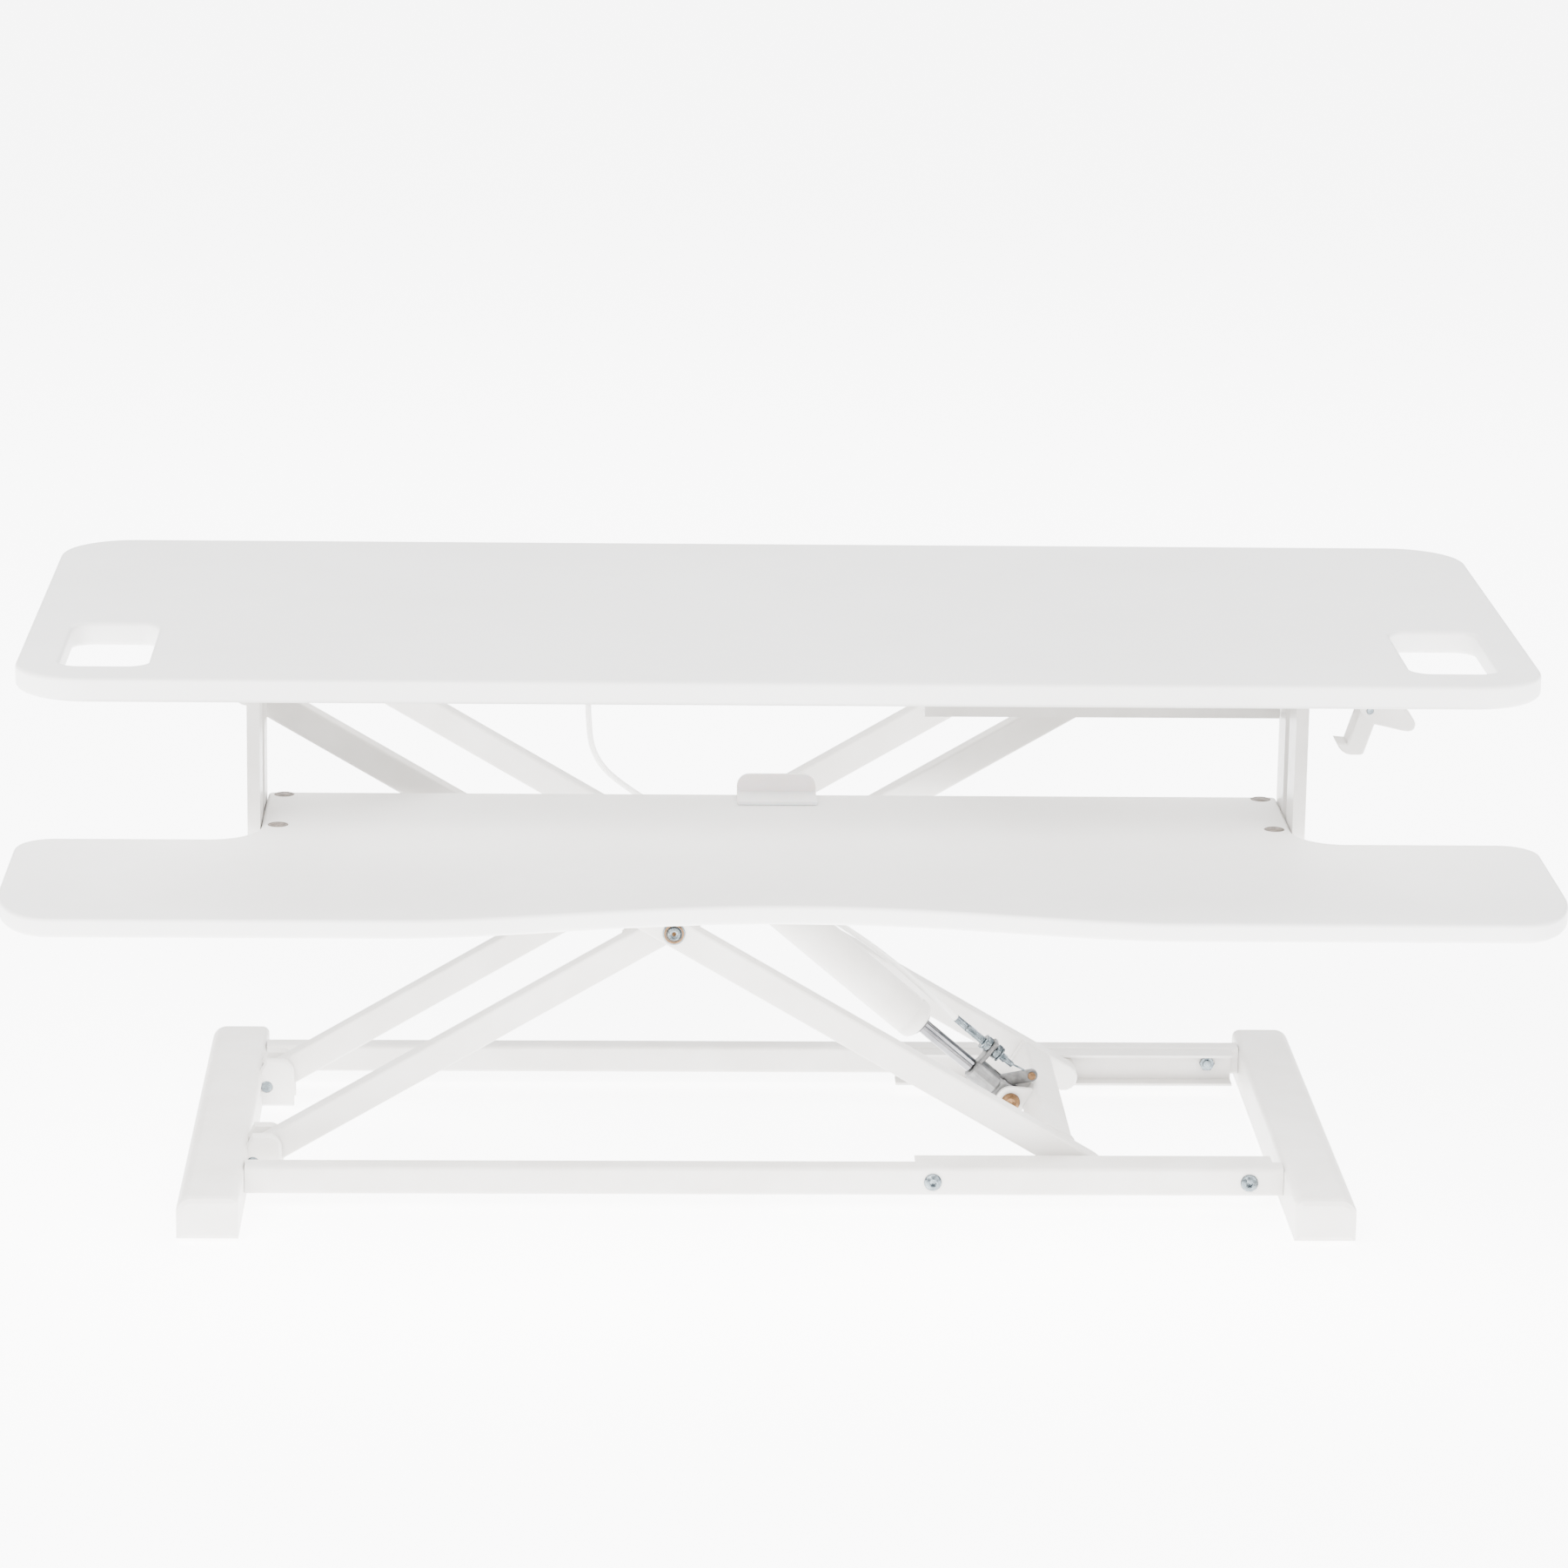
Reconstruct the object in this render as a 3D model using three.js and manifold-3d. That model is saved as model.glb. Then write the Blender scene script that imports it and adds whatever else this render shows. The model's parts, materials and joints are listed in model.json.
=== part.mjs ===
// Standing desk converter: a desktop and a keyboard tray carried by a double X-scissor that stands on
// a low base frame, with a lockable gas spring released by a squeeze lever under the desktop.
// Millimetres, +X to the user's right, +Y to the rear, +Z up. The origin is the centre of the footprint.
import * as THREE from "three";
import { mergeVertices } from "three/addons/utils/BufferGeometryUtils.js";
import Module from "manifold-3d";

const wasm = await Module();
wasm.setup();

// ---------------------------------------------------------------- driving dimensions
const GAP = 0.3; // between faces of separate pieces that touch
const RUN = 0.3; // radial clearance of a pin in its hole

const DESK_WIDTH = 950;
const DESK_DEPTH = 400;
const DESK_THICK = 15;
const DESK_CORNER = 48;
const DESK_FRONT = -147;
const SLOT_INSET = 27; // hand slot to the side edge
const SLOT_WIDTH = 55;
const SLOT_LENGTH = 114;
const SLOT_SETBACK = 36; // hand slot to the front edge
const SLOT_CORNER = 13;
const EDGE_ROUND = 3;

const TRAY_WIDTH = 950;
const TRAY_THICK = 12;
const TRAY_DROP = 112; // desktop's top to tray's top
const TRAY_FRONT = -286;
const TRAY_WING_REAR = -106;
const TRAY_NECK_HALF = 325.5;
const TRAY_SCOOP = 34; // depth of the concave middle of the front edge
const TRAY_SCOOP_HALF = 235;
const TRAY_END_REACH = 36; // how far a wing's front corner is rounded along X
const TRAY_END_SWEEP = 64; // and along Y
const TRAY_END_REAR = 24;
const TRAY_FILLET = 31;

const ARM_LENGTH = 638; // pivot to roller
const REST_ANGLE = THREE.MathUtils.degToRad(30.4);
const PIVOT_X = -338.5;
const PIVOT_Z = 18;
const TOP_PIVOT_DROP = 46.2; // top pivots below the desktop's top
const ARM_HIGH = 19;
const ARM_WIDE = 15;
const ARM_WALL = 1.5;
const ARM_SPACE = 3; // between an inner and an outer arm
const INNER_OFFSET = DESK_DEPTH / 2 - 119.5; // mid-plane to the inner arms' middle
const OUTER_OFFSET = INNER_OFFSET + ARM_WIDE + ARM_SPACE;
const MID_Y = DESK_FRONT + 0.665 * DESK_DEPTH; // mid-plane of the scissor
const TRAY_REAR = MID_Y - 111;

const RAIL_HIGH = 19;
const RAIL_WIDE = 16;
const RAIL_WALL = 1.5;
const RAIL_BOTTOM = 11;
const CHANNEL_HIGH = 22;
const CHANNEL_DEEP = 13.3;
const RAIL_OFFSET = OUTER_OFFSET + ARM_WIDE / 2 + 2.2 + CHANNEL_DEEP + GAP; // mid-plane to a rail
const SHEET = 1.6;
const ROLLER_WIDE = 11;
const ROLLER_PLAY = 0.3;

const FOOT_WIDE = 39.7;
const FOOT_FRONT = MID_Y - 202;
const FOOT_REAR = MID_Y + 167;
const FOOT_TOP = 31;
const PAD_RADIUS = 12;
const PAD_THICK = 1.7;
const LUG_REACH = 22; // hinge lug beyond the left foot's inner face
const LUG_WALL = 7;
const LUG_TOP = 37;

const PIN_RADIUS = 4;
const HANGER_FRONT = TRAY_REAR - 84;
const HANGER_REAR = TRAY_REAR - 1;
const HANGER_X = TRAY_NECK_HALF + 0.5;
const HANGER_FLANGE = 8;
const TRAY_SCREW_X = TRAY_NECK_HALF - 10.5;
const TRAY_SCREWS_Y = [TRAY_REAR - 80, TRAY_REAR - 6.2];
const CAP_RADIUS = 6.4;

const HALF_ARM = ARM_LENGTH / 2;
const SPRING_FOOT = new THREE.Vector2(HALF_ARM - 46.9, -9.1); // lower pivot on an outer arm: along, above
const SPRING_HEAD = new THREE.Vector2(33.8, 18.4); // upper pivot on an inner arm: along, above
const CYLINDER_RADIUS = 14;
const ROD_RADIUS = 5;
const ROD_SHOWN = 45; // rod between release head and cylinder
const ROD_HIDDEN = 80; // rod inside the cylinder
const HEAD_END = 34; // release head's length from the lower pivot
const CYLINDER_BORE = 118;
const TANG_THICK = 12;
const EYE_SLOT = 8; // free play of the upper pin across the spring, on the side away from the cable
const EYE_PLAY = 1.6; // and along it, each way
const CABLE_OFFSET = 18.2; // cable's line beside the rod
const CABLE_RADIUS = 2;

// ---------------------------------------------------------------- values that follow from them
const REACH = ARM_LENGTH * Math.cos(REST_ANGLE);
const LIFT = ARM_LENGTH * Math.sin(REST_ANGLE);
const CENTRE = new THREE.Vector2(PIVOT_X + REACH / 2, PIVOT_Z + LIFT / 2);
const TOP_PIVOT_Z = PIVOT_Z + LIFT;
const DESK_TOP = TOP_PIVOT_Z + TOP_PIVOT_DROP;
const DESK_UNDER = DESK_TOP - DESK_THICK;
const TRAY_TOP = DESK_TOP - TRAY_DROP;
const TRAY_UNDER = TRAY_TOP - TRAY_THICK;
const PIN_HOLE = PIN_RADIUS + RUN;
const ROLLER_RADIUS = CHANNEL_HIGH / 2 - SHEET - ROLLER_PLAY;
const LOW_ANGLE = THREE.MathUtils.degToRad(8.6); // of the arms with the desktop at its lowest
const HIGH_ANGLE = THREE.MathUtils.degToRad(45); // and at its highest
const CHANNEL_LEFT = PIVOT_X + ARM_LENGTH * Math.cos(HIGH_ANGLE) - 16.63;
const LEFT_FOOT_INNER = PIVOT_X - 3.3;
const RIGHT_FOOT_INNER = PIVOT_X + ARM_LENGTH * Math.cos(LOW_ANGLE) + 44.47;
const CHANNEL_RIGHT = RIGHT_FOOT_INNER - 5.8;
const CHANNEL_SCREWS_X = [CHANNEL_LEFT + 10.7, CHANNEL_RIGHT - 16.8];
const TOP_BAR_HALF = HANGER_X - 1;
const FOOT_BOTTOM = PAD_THICK + GAP;
const SIDES = [
  ["front", -1],
  ["rear", 1],
];

// ---------------------------------------------------------------- materials
function finish(color, roughness, metalness) {
  return new THREE.MeshStandardMaterial({ color, roughness, metalness });
}
const BOARD = finish(0xe9e8e6, 0.55, 0);
const PAINT = finish(0xe6e5e3, 0.4, 0.1);
const MOULDED = finish(0xe4e2df, 0.5, 0);
const CHROME = finish(0xb9bcbf, 0.15, 1);
const CAST = finish(0xa9abad, 0.4, 0.9);
const ZINC = finish(0xa7adb0, 0.35, 0.9);
const NYLON = finish(0xd8d6d0, 0.5, 0);
const RUBBER = finish(0x4a4947, 0.9, 0);
const CAP = finish(0xa7a19a, 0.6, 0);

// ---------------------------------------------------------------- solids
// A closed geometry as a manifold solid, with its faces turned outwards.
function solid(geometry) {
  const bare = geometry.clone();
  bare.deleteAttribute("normal");
  bare.deleteAttribute("uv");
  const merged = mergeVertices(bare, 1e-4);
  const vertProperties = merged.attributes.position.array;
  const triVerts = new Uint32Array(merged.index.array);
  const made = new wasm.Manifold(new wasm.Mesh({ numProp: 3, vertProperties, triVerts }));
  if (made.volume() > 0) return made;
  for (let i = 0; i < triVerts.length; i += 3) {
    [triVerts[i], triVerts[i + 1]] = [triVerts[i + 1], triVerts[i]];
  }
  return new wasm.Manifold(new wasm.Mesh({ numProp: 3, vertProperties, triVerts }));
}

function join(...solids) {
  return solids.reduce((whole, next) => whole.add(next));
}

function cut(body, ...tools) {
  return tools.reduce((whole, tool) => whole.subtract(tool), body);
}

function geometryOf(body) {
  const mesh = body.getMesh();
  const geometry = new THREE.BufferGeometry();
  geometry.setAttribute("position", new THREE.BufferAttribute(mesh.vertProperties, 3));
  geometry.setIndex(new THREE.BufferAttribute(mesh.triVerts, 1));
  geometry.computeVertexNormals();
  return geometry;
}

// An outline pushed along one axis from low to high; round is the radius of its end edges.
// Outlines are drawn as (y, z) for X, (x, z) for Y and (x, y) for Z.
function prism(axis, outline, low, high, round = 0, steps = 1, curve = 4) {
  const geometry = new THREE.ExtrudeGeometry(outline, {
    depth: high - low - 2 * round,
    bevelEnabled: round > 0,
    bevelThickness: round,
    bevelSize: round,
    bevelOffset: -round,
    bevelSegments: steps,
    curveSegments: curve,
  });
  const turn = new THREE.Matrix4();
  const X = new THREE.Vector3(1, 0, 0);
  const Y = new THREE.Vector3(0, 1, 0);
  const Z = new THREE.Vector3(0, 0, 1);
  if (axis === "x") turn.makeBasis(Y, Z, X).setPosition(low + round, 0, 0);
  if (axis === "y") turn.makeBasis(X, Z, Y.clone().negate()).setPosition(0, high - round, 0);
  if (axis === "z") turn.setPosition(0, 0, low + round);
  return solid(geometry.applyMatrix4(turn));
}

function box(x0, x1, y0, y1, z0, z1) {
  const geometry = new THREE.BoxGeometry(x1 - x0, y1 - y0, z1 - z0);
  return solid(geometry.translate((x0 + x1) / 2, (y0 + y1) / 2, (z0 + z1) / 2));
}

// A turned piece: profile points are (radius, height along the axis), and a and b place its axis.
function turned(axis, profile, a = 0, b = 0, segments = 24) {
  const points = profile.map(([r, h]) => new THREE.Vector2(r, h));
  const geometry = new THREE.LatheGeometry(points, segments);
  if (axis === "x") geometry.rotateZ(-Math.PI / 2).translate(0, a, b);
  if (axis === "y") geometry.translate(a, 0, b);
  if (axis === "z") geometry.rotateX(Math.PI / 2).translate(a, b, 0);
  return solid(geometry);
}

function disc(axis, radius, low, high, a = 0, b = 0, segments = 20) {
  const profile = [
    [0, low],
    [radius, low],
    [radius, high],
    [0, high],
  ];
  return turned(axis, profile, a, b, segments);
}

function ring(axis, outer, inner, low, high, a = 0, b = 0, segments = 20) {
  const profile = [
    [inner, low],
    [outer, low],
    [outer, high],
    [inner, high],
    [inner, low],
  ];
  return turned(axis, profile, a, b, segments);
}

// ---------------------------------------------------------------- outlines
function roundedBox(x0, x1, y0, y1, r, Kind = THREE.Shape) {
  const o = new Kind();
  o.moveTo(x0 + r, y0);
  o.lineTo(x1 - r, y0);
  o.absarc(x1 - r, y0 + r, r, -Math.PI / 2, 0, false);
  o.lineTo(x1, y1 - r);
  o.absarc(x1 - r, y1 - r, r, 0, Math.PI / 2, false);
  o.lineTo(x0 + r, y1);
  o.absarc(x0 + r, y1 - r, r, Math.PI / 2, Math.PI, false);
  o.lineTo(x0, y0 + r);
  o.absarc(x0 + r, y0 + r, r, Math.PI, Math.PI * 1.5, false);
  o.closePath();
  return o;
}

function stadium(x0, x1, r) {
  const o = new THREE.Shape();
  o.moveTo(x0, -r);
  o.lineTo(x1, -r);
  o.absarc(x1, 0, r, -Math.PI / 2, Math.PI / 2, false);
  o.lineTo(x0, r);
  o.absarc(x0, 0, r, Math.PI / 2, Math.PI * 1.5, false);
  return o;
}

function circlePoints(centre, r, samples = 28) {
  return Array.from({ length: samples }, (_, i) => {
    const turn = (i / samples) * 2 * Math.PI;
    return new THREE.Vector2(centre.x + r * Math.cos(turn), centre.y + r * Math.sin(turn));
  });
}

// The convex outline round a set of points, anticlockwise.
function hull(points) {
  const sorted = [...points].sort((p, q) => p.x - q.x || p.y - q.y);
  const left = (o, p, q) => (p.x - o.x) * (q.y - o.y) - (p.y - o.y) * (q.x - o.x) > 1e-9;
  const chain = (list) => {
    const kept = [];
    for (const p of list) {
      while (kept.length > 1 && !left(kept.at(-2), kept.at(-1), p)) kept.pop();
      kept.push(p);
    }
    kept.pop();
    return kept;
  };
  return new THREE.Shape([...chain(sorted), ...chain(sorted.reverse())]);
}

// A plate that runs from a straight foot, between the points a and b, to a round eye.
function lugPlate(a, b, eye, r) {
  return hull([a, b, ...circlePoints(eye, r)]);
}

// ---------------------------------------------------------------- the scene graph
const converter = new THREE.Group();

function addPiece(parent, name, body, material) {
  const mesh = new THREE.Mesh(geometryOf(body), material);
  mesh.name = name;
  parent.add(mesh);
  return mesh;
}

// Both arm groups turn about the scissor's centre; x runs along the arm to its roller.
const innerArms = new THREE.Group();
innerArms.position.set(CENTRE.x, MID_Y, CENTRE.y);
innerArms.rotation.y = -REST_ANGLE;
const outerArms = new THREE.Group();
outerArms.position.set(CENTRE.x, MID_Y, CENTRE.y);
outerArms.rotation.y = REST_ANGLE;
converter.add(innerArms, outerArms);

// Low and high Y of a stretch that lies from near to far off the mid-plane, on one side of it.
function span(side, near, far) {
  const a = side * near;
  const b = side * far;
  return [Math.min(a, b), Math.max(a, b)];
}

function worldSpan(side, near, far) {
  return span(side, near, far).map((y) => y + MID_Y);
}

// ---------------------------------------------------------------- base
function footBody(inner, outward) {
  const x0 = Math.min(inner, inner + outward * FOOT_WIDE);
  const x1 = x0 + FOOT_WIDE;
  const outerRound = 10;
  const innerRound = 5;
  const left = outward < 0 ? outerRound : innerRound;
  const right = outward < 0 ? innerRound : outerRound;
  const section = new THREE.Shape();
  section.moveTo(x0, FOOT_BOTTOM);
  section.lineTo(x1, FOOT_BOTTOM);
  section.lineTo(x1, FOOT_TOP - right);
  section.absarc(x1 - right, FOOT_TOP - right, right, 0, Math.PI / 2, false);
  section.lineTo(x0 + left, FOOT_TOP);
  section.absarc(x0 + left, FOOT_TOP - left, left, Math.PI / 2, Math.PI, false);
  section.closePath();
  let shoe = prism("y", section, FOOT_FRONT, FOOT_REAR, 4, 2, 4);
  // Cells of the moulding, open underneath, between the solid ends that carry the pads.
  const wall = 3;
  const cells = 3;
  const first = MID_Y - INNER_OFFSET + 30;
  const last = MID_Y + INNER_OFFSET - 30;
  const pitch = (last - first) / cells;
  for (let i = 0; i < cells; i += 1) {
    const y = first + i * pitch;
    const top = FOOT_TOP - Math.max(wall, outerRound / 2);
    shoe = cut(shoe, box(x0 + 8, x1 - 8, y + wall / 2, y + pitch - wall / 2, 0, top));
  }
  return shoe;
}

// The lug that holds one inner arm: two round-topped cheeks joined by a floor, on the foot's inner face.
function hingeLug(side) {
  const arm = MID_Y + side * INNER_OFFSET;
  const slot = ARM_WIDE / 2 + 0.5;
  const x1 = LEFT_FOOT_INNER + LUG_REACH;
  const round = 9;
  const cheek = new THREE.Shape();
  cheek.moveTo(LEFT_FOOT_INNER - 3, FOOT_BOTTOM + 2);
  cheek.lineTo(x1, FOOT_BOTTOM + 2);
  cheek.lineTo(x1, LUG_TOP - round);
  cheek.absarc(x1 - round, LUG_TOP - round, round, 0, Math.PI / 2, false);
  cheek.lineTo(LEFT_FOOT_INNER + 3, LUG_TOP);
  cheek.lineTo(LEFT_FOOT_INNER - 3, FOOT_TOP - 6);
  cheek.closePath();
  const near = prism("y", cheek, arm - slot - LUG_WALL, arm - slot, 1.5, 1, 3);
  const far = prism("y", cheek, arm + slot, arm + slot + LUG_WALL, 1.5, 1, 3);
  const floor = box(LEFT_FOOT_INNER - 3, x1 - 3, arm - slot - 3, arm + slot + 3, 4, 7.6);
  return join(near, far, floor);
}

function leftFoot() {
  let foot = footBody(LEFT_FOOT_INNER, -1);
  for (const [, side] of SIDES) {
    const arm = MID_Y + side * INNER_OFFSET;
    const half = ARM_WIDE / 2 + 0.5;
    const clear = ARM_HIGH / 2 + 0.6;
    foot = join(foot, hingeLug(side));
    const pocketTop = PIVOT_Z + clear + 0.3;
    foot = cut(
      foot,
      box(PIVOT_X - clear, LEFT_FOOT_INNER + 8, arm - half, arm + half, PIVOT_Z - clear, pocketTop),
      disc("y", PIN_HOLE, arm - 30, arm + 30, PIVOT_X, PIVOT_Z),
    );
  }
  return foot;
}

addPiece(converter, "left_foot", leftFoot(), MOULDED);
addPiece(converter, "right_foot", footBody(RIGHT_FOOT_INNER, 1), MOULDED);

for (const [name, x] of [
  ["left", LEFT_FOOT_INNER - FOOT_WIDE / 2],
  ["right", RIGHT_FOOT_INNER + FOOT_WIDE / 2],
]) {
  for (const [end, y] of [
    ["front", FOOT_FRONT + 24],
    ["rear", FOOT_REAR - 24],
  ]) {
    const chamfer = 0.6;
    const profile = [
      [0, 0],
      [PAD_RADIUS - chamfer, 0],
      [PAD_RADIUS, chamfer],
      [PAD_RADIUS, PAD_THICK],
      [0, PAD_THICK],
    ];
    addPiece(converter, `rubber_pad_${name}_${end}`, turned("z", profile, x, y, 24), RUBBER);
  }
}

// A square steel tube along X with open ends; z0 is its underside.
function rail(side, x0, x1, z0) {
  const [y0, y1] = worldSpan(side, RAIL_OFFSET, RAIL_OFFSET + RAIL_WIDE);
  const section = roundedBox(y0, y1, z0, z0 + RAIL_HIGH, 2.5);
  const w = RAIL_WALL;
  section.holes.push(roundedBox(y0 + w, y1 - w, z0 + w, z0 + RAIL_HIGH - w, 1, THREE.Path));
  return prism("x", section, x0, x1, 0, 0, 2);
}

// A C-section that holds a roller; tail is how far its web goes on above the C.
function channel(side, z, right, tail) {
  const web = RAIL_OFFSET - GAP;
  const lip = web - CHANNEL_DEEP;
  const low = z - CHANNEL_HIGH / 2;
  const high = z + CHANNEL_HIGH / 2;
  const y = (offset) => MID_Y + side * offset;
  const c = new THREE.Shape();
  c.moveTo(y(web), low);
  c.lineTo(y(lip), low);
  c.lineTo(y(lip), low + SHEET);
  c.lineTo(y(web - SHEET), low + SHEET);
  c.lineTo(y(web - SHEET), high - SHEET);
  c.lineTo(y(lip), high - SHEET);
  c.lineTo(y(lip), high);
  if (tail > 0) {
    c.lineTo(y(web - SHEET), high);
    c.lineTo(y(web - SHEET), high + tail);
    c.lineTo(y(web), high + tail);
  } else {
    c.lineTo(y(web), high);
  }
  c.closePath();
  return prism("x", c, CHANNEL_LEFT, right);
}

const SCREW_RADIUS = 3;
const SCREW_HEAD = 5.8;
const SCREW_Z = RAIL_BOTTOM + RAIL_HIGH / 2;

function channelScrew(side, x, withNut) {
  const face = RAIL_OFFSET + RAIL_WIDE + GAP;
  const tip = RAIL_OFFSET - GAP - SHEET - GAP;
  const dome = [
    [0, tip],
    [SCREW_RADIUS, tip],
    [SCREW_RADIUS, face],
    [SCREW_HEAD, face],
    [SCREW_HEAD, face + 0.8],
    [4.6, face + 2.2],
    [2.6, face + 2.9],
    [0, face + 2.9],
  ];
  let screw = turned("y", dome, 0, 0, 16);
  if (withNut) {
    const nut = disc("y", 5, tip - 3.6, tip, 0, 0, 6);
    screw = join(screw, nut, disc("y", SCREW_RADIUS, tip - 4.6, tip + 1, 0, 0, 12));
  }
  screw = cut(screw, disc("y", 1.9, face + 0.9, face + 4, 0, 0, 6));
  const placed = side < 0 ? screw.mirror([0, 1, 0]) : screw;
  return placed.translate([x, MID_Y, SCREW_Z]);
}

for (const [name, side] of SIDES) {
  let tube = rail(side, LEFT_FOOT_INNER + GAP, RIGHT_FOOT_INNER - GAP, RAIL_BOTTOM);
  let track = channel(side, PIVOT_Z, CHANNEL_RIGHT, 0);
  CHANNEL_SCREWS_X.forEach((x, i) => {
    const [y0, y1] = worldSpan(side, RAIL_OFFSET - 4, RAIL_OFFSET + RAIL_WIDE + 4);
    const hole = disc("y", SCREW_RADIUS + GAP, y0, y1, x, SCREW_Z);
    tube = cut(tube, hole);
    track = cut(track, hole);
    const end = i === 0 ? "left" : "right";
    addPiece(converter, `channel_screw_${name}_${end}`, channelScrew(side, x, i === 1), ZINC);
  });
  addPiece(converter, `base_rail_${name}`, tube, PAINT);
  addPiece(converter, `base_channel_${name}`, track, PAINT);
  const arm = MID_Y + side * INNER_OFFSET;
  const reach = ARM_WIDE / 2 + 0.5 + LUG_WALL - 0.6;
  const pin = disc("y", PIN_RADIUS, arm - reach, arm + reach, PIVOT_X, PIVOT_Z);
  addPiece(converter, `base_hinge_pin_${name}`, pin, ZINC);
}

// ---------------------------------------------------------------- scissor arms
const BOLT_RADIUS = 4;
const WASHER_THICK = OUTER_OFFSET - INNER_OFFSET - ARM_WIDE - 2 * GAP;
const ROLLER_INNER = RAIL_OFFSET - GAP - SHEET - 1.4 - ROLLER_WIDE; // roller's face nearest the mid-plane

// A rectangular tube with round ends: hinge hole at -x, bolt hole in the middle, roller stub at +x.
function scissorArm(side, offset) {
  const [y0, y1] = span(side, offset - ARM_WIDE / 2, offset + ARM_WIDE / 2);
  const r = ARM_HIGH / 2;
  const skin = prism("y", stadium(-HALF_ARM, HALF_ARM, r), y0, y1, 1.5, 2, 4);
  const hollow = prism("y", stadium(-HALF_ARM, HALF_ARM, r - ARM_WALL), y0 + ARM_WALL, y1 - ARM_WALL);
  const stubEnd = ROLLER_INNER + ROLLER_WIDE + 0.6;
  const [s0, s1] = span(side, offset - ARM_WIDE / 2 + 0.8, stubEnd);
  const [c0, c1] = span(side, offset + ARM_WIDE / 2 - 0.8, ROLLER_INNER - 0.4);
  return join(
    cut(
      skin,
      hollow,
      disc("y", PIN_HOLE, y0 - 1, y1 + 1, -HALF_ARM, 0),
      disc("y", BOLT_RADIUS + RUN, y0 - 1, y1 + 1, 0, 0),
    ),
    disc("y", PIN_RADIUS, s0, s1, HALF_ARM, 0),
    disc("y", PIN_RADIUS + 2, c0, c1, HALF_ARM, 0),
  );
}

// The roller turns on the stub at an arm's end, between the channel's flanges.
function roller(side) {
  const [y0, y1] = span(side, ROLLER_INNER, ROLLER_INNER + ROLLER_WIDE);
  const chamfer = 1;
  const profile = [
    [PIN_HOLE, y0],
    [ROLLER_RADIUS - chamfer, y0],
    [ROLLER_RADIUS, y0 + chamfer],
    [ROLLER_RADIUS, y1 - chamfer],
    [ROLLER_RADIUS - chamfer, y1],
    [PIN_HOLE, y1],
    [PIN_HOLE, y0],
  ];
  return turned("y", profile, HALF_ARM, 0, 24);
}

// The bolt at the crossing, with a flanged socket head outside and a nut inside.
function centreBolt(side) {
  const outer = OUTER_OFFSET + ARM_WIDE / 2 + GAP;
  const inner = INNER_OFFSET - ARM_WIDE / 2 - GAP;
  const profile = [
    [0, inner - 7],
    [BOLT_RADIUS, inner - 7],
    [BOLT_RADIUS, outer],
    [7.4, outer],
    [7.4, outer + 1.2],
    [5, outer + 1.2],
    [5, outer + 3],
    [4.4, outer + 3.6],
    [0, outer + 3.6],
  ];
  const bolt = cut(turned("y", profile, 0, 0, 20), disc("y", 2.4, outer + 1.4, outer + 5, 0, 0, 6));
  const whole = join(bolt, disc("y", 7.5, inner - 6, inner, 0, 0, 6));
  return side < 0 ? whole.mirror([0, 1, 0]) : whole;
}

for (const [name, side] of SIDES) {
  addPiece(innerArms, `inner_arm_${name}`, scissorArm(side, INNER_OFFSET), PAINT);
  addPiece(innerArms, `upper_roller_${name}`, roller(side), NYLON);
  addPiece(innerArms, `centre_bolt_${name}`, centreBolt(side), ZINC);
  const [w0, w1] = span(side, INNER_OFFSET + ARM_WIDE / 2 + GAP, OUTER_OFFSET - ARM_WIDE / 2 - GAP);
  addPiece(innerArms, `centre_washer_${name}`, ring("y", 9, BOLT_RADIUS + RUN, w0, w1), NYLON);
  addPiece(outerArms, `outer_arm_${name}`, scissorArm(side, OUTER_OFFSET), PAINT);
  addPiece(outerArms, `lower_roller_${name}`, roller(side), NYLON);
}

// ---------------------------------------------------------------- cross tubes and spring brackets
// A tube across the frame with two ears that hold one end of the gas spring.
function crossTube(half, x0, x1, feet, eye, eyeRadius, plate) {
  const r = ARM_HIGH / 2;
  const tube = roundedBox(x0, x1, -r, r, 2.5);
  tube.holes.push(roundedBox(x0 + 1.5, x1 - 1.5, -r + 1.5, r - 1.5, 1, THREE.Path));
  let body = prism("y", tube, -half, half, 0, 0, 2);
  const near = TANG_THICK / 2 + 0.5;
  const outline = lugPlate(feet[0], feet[1], eye, eyeRadius);
  for (const [, side] of SIDES) {
    const [y0, y1] = span(side, near, near + plate);
    body = join(body, prism("y", outline, y0, y1));
  }
  return cut(body, disc("y", PIN_HOLE, -30, 30, eye.x, eye.y));
}

const INNER_TUBE = [-33, -13];
const OUTER_TUBE = [HALF_ARM - 38, HALF_ARM - 16];
const EAR = 3.5;
const vec = (x, y) => new THREE.Vector2(x, y);
const tubeTop = ARM_HIGH / 2;
addPiece(
  innerArms,
  "upper_cross_tube",
  crossTube(
    INNER_OFFSET - ARM_WIDE / 2 - GAP,
    ...INNER_TUBE,
    [vec(INNER_TUBE[0] + 2, tubeTop - 1), vec(INNER_TUBE[1] - 2, tubeTop - 1)],
    SPRING_HEAD,
    8.5,
    EAR,
  ),
  PAINT,
);
addPiece(
  outerArms,
  "lower_cross_tube",
  crossTube(
    OUTER_OFFSET - ARM_WIDE / 2 - GAP,
    ...OUTER_TUBE,
    [vec(OUTER_TUBE[0] + 1, tubeTop - 3), vec(OUTER_TUBE[0] + 1, -tubeTop + 3)],
    SPRING_FOOT,
    10,
    EAR,
  ),
  PAINT,
);

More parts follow.
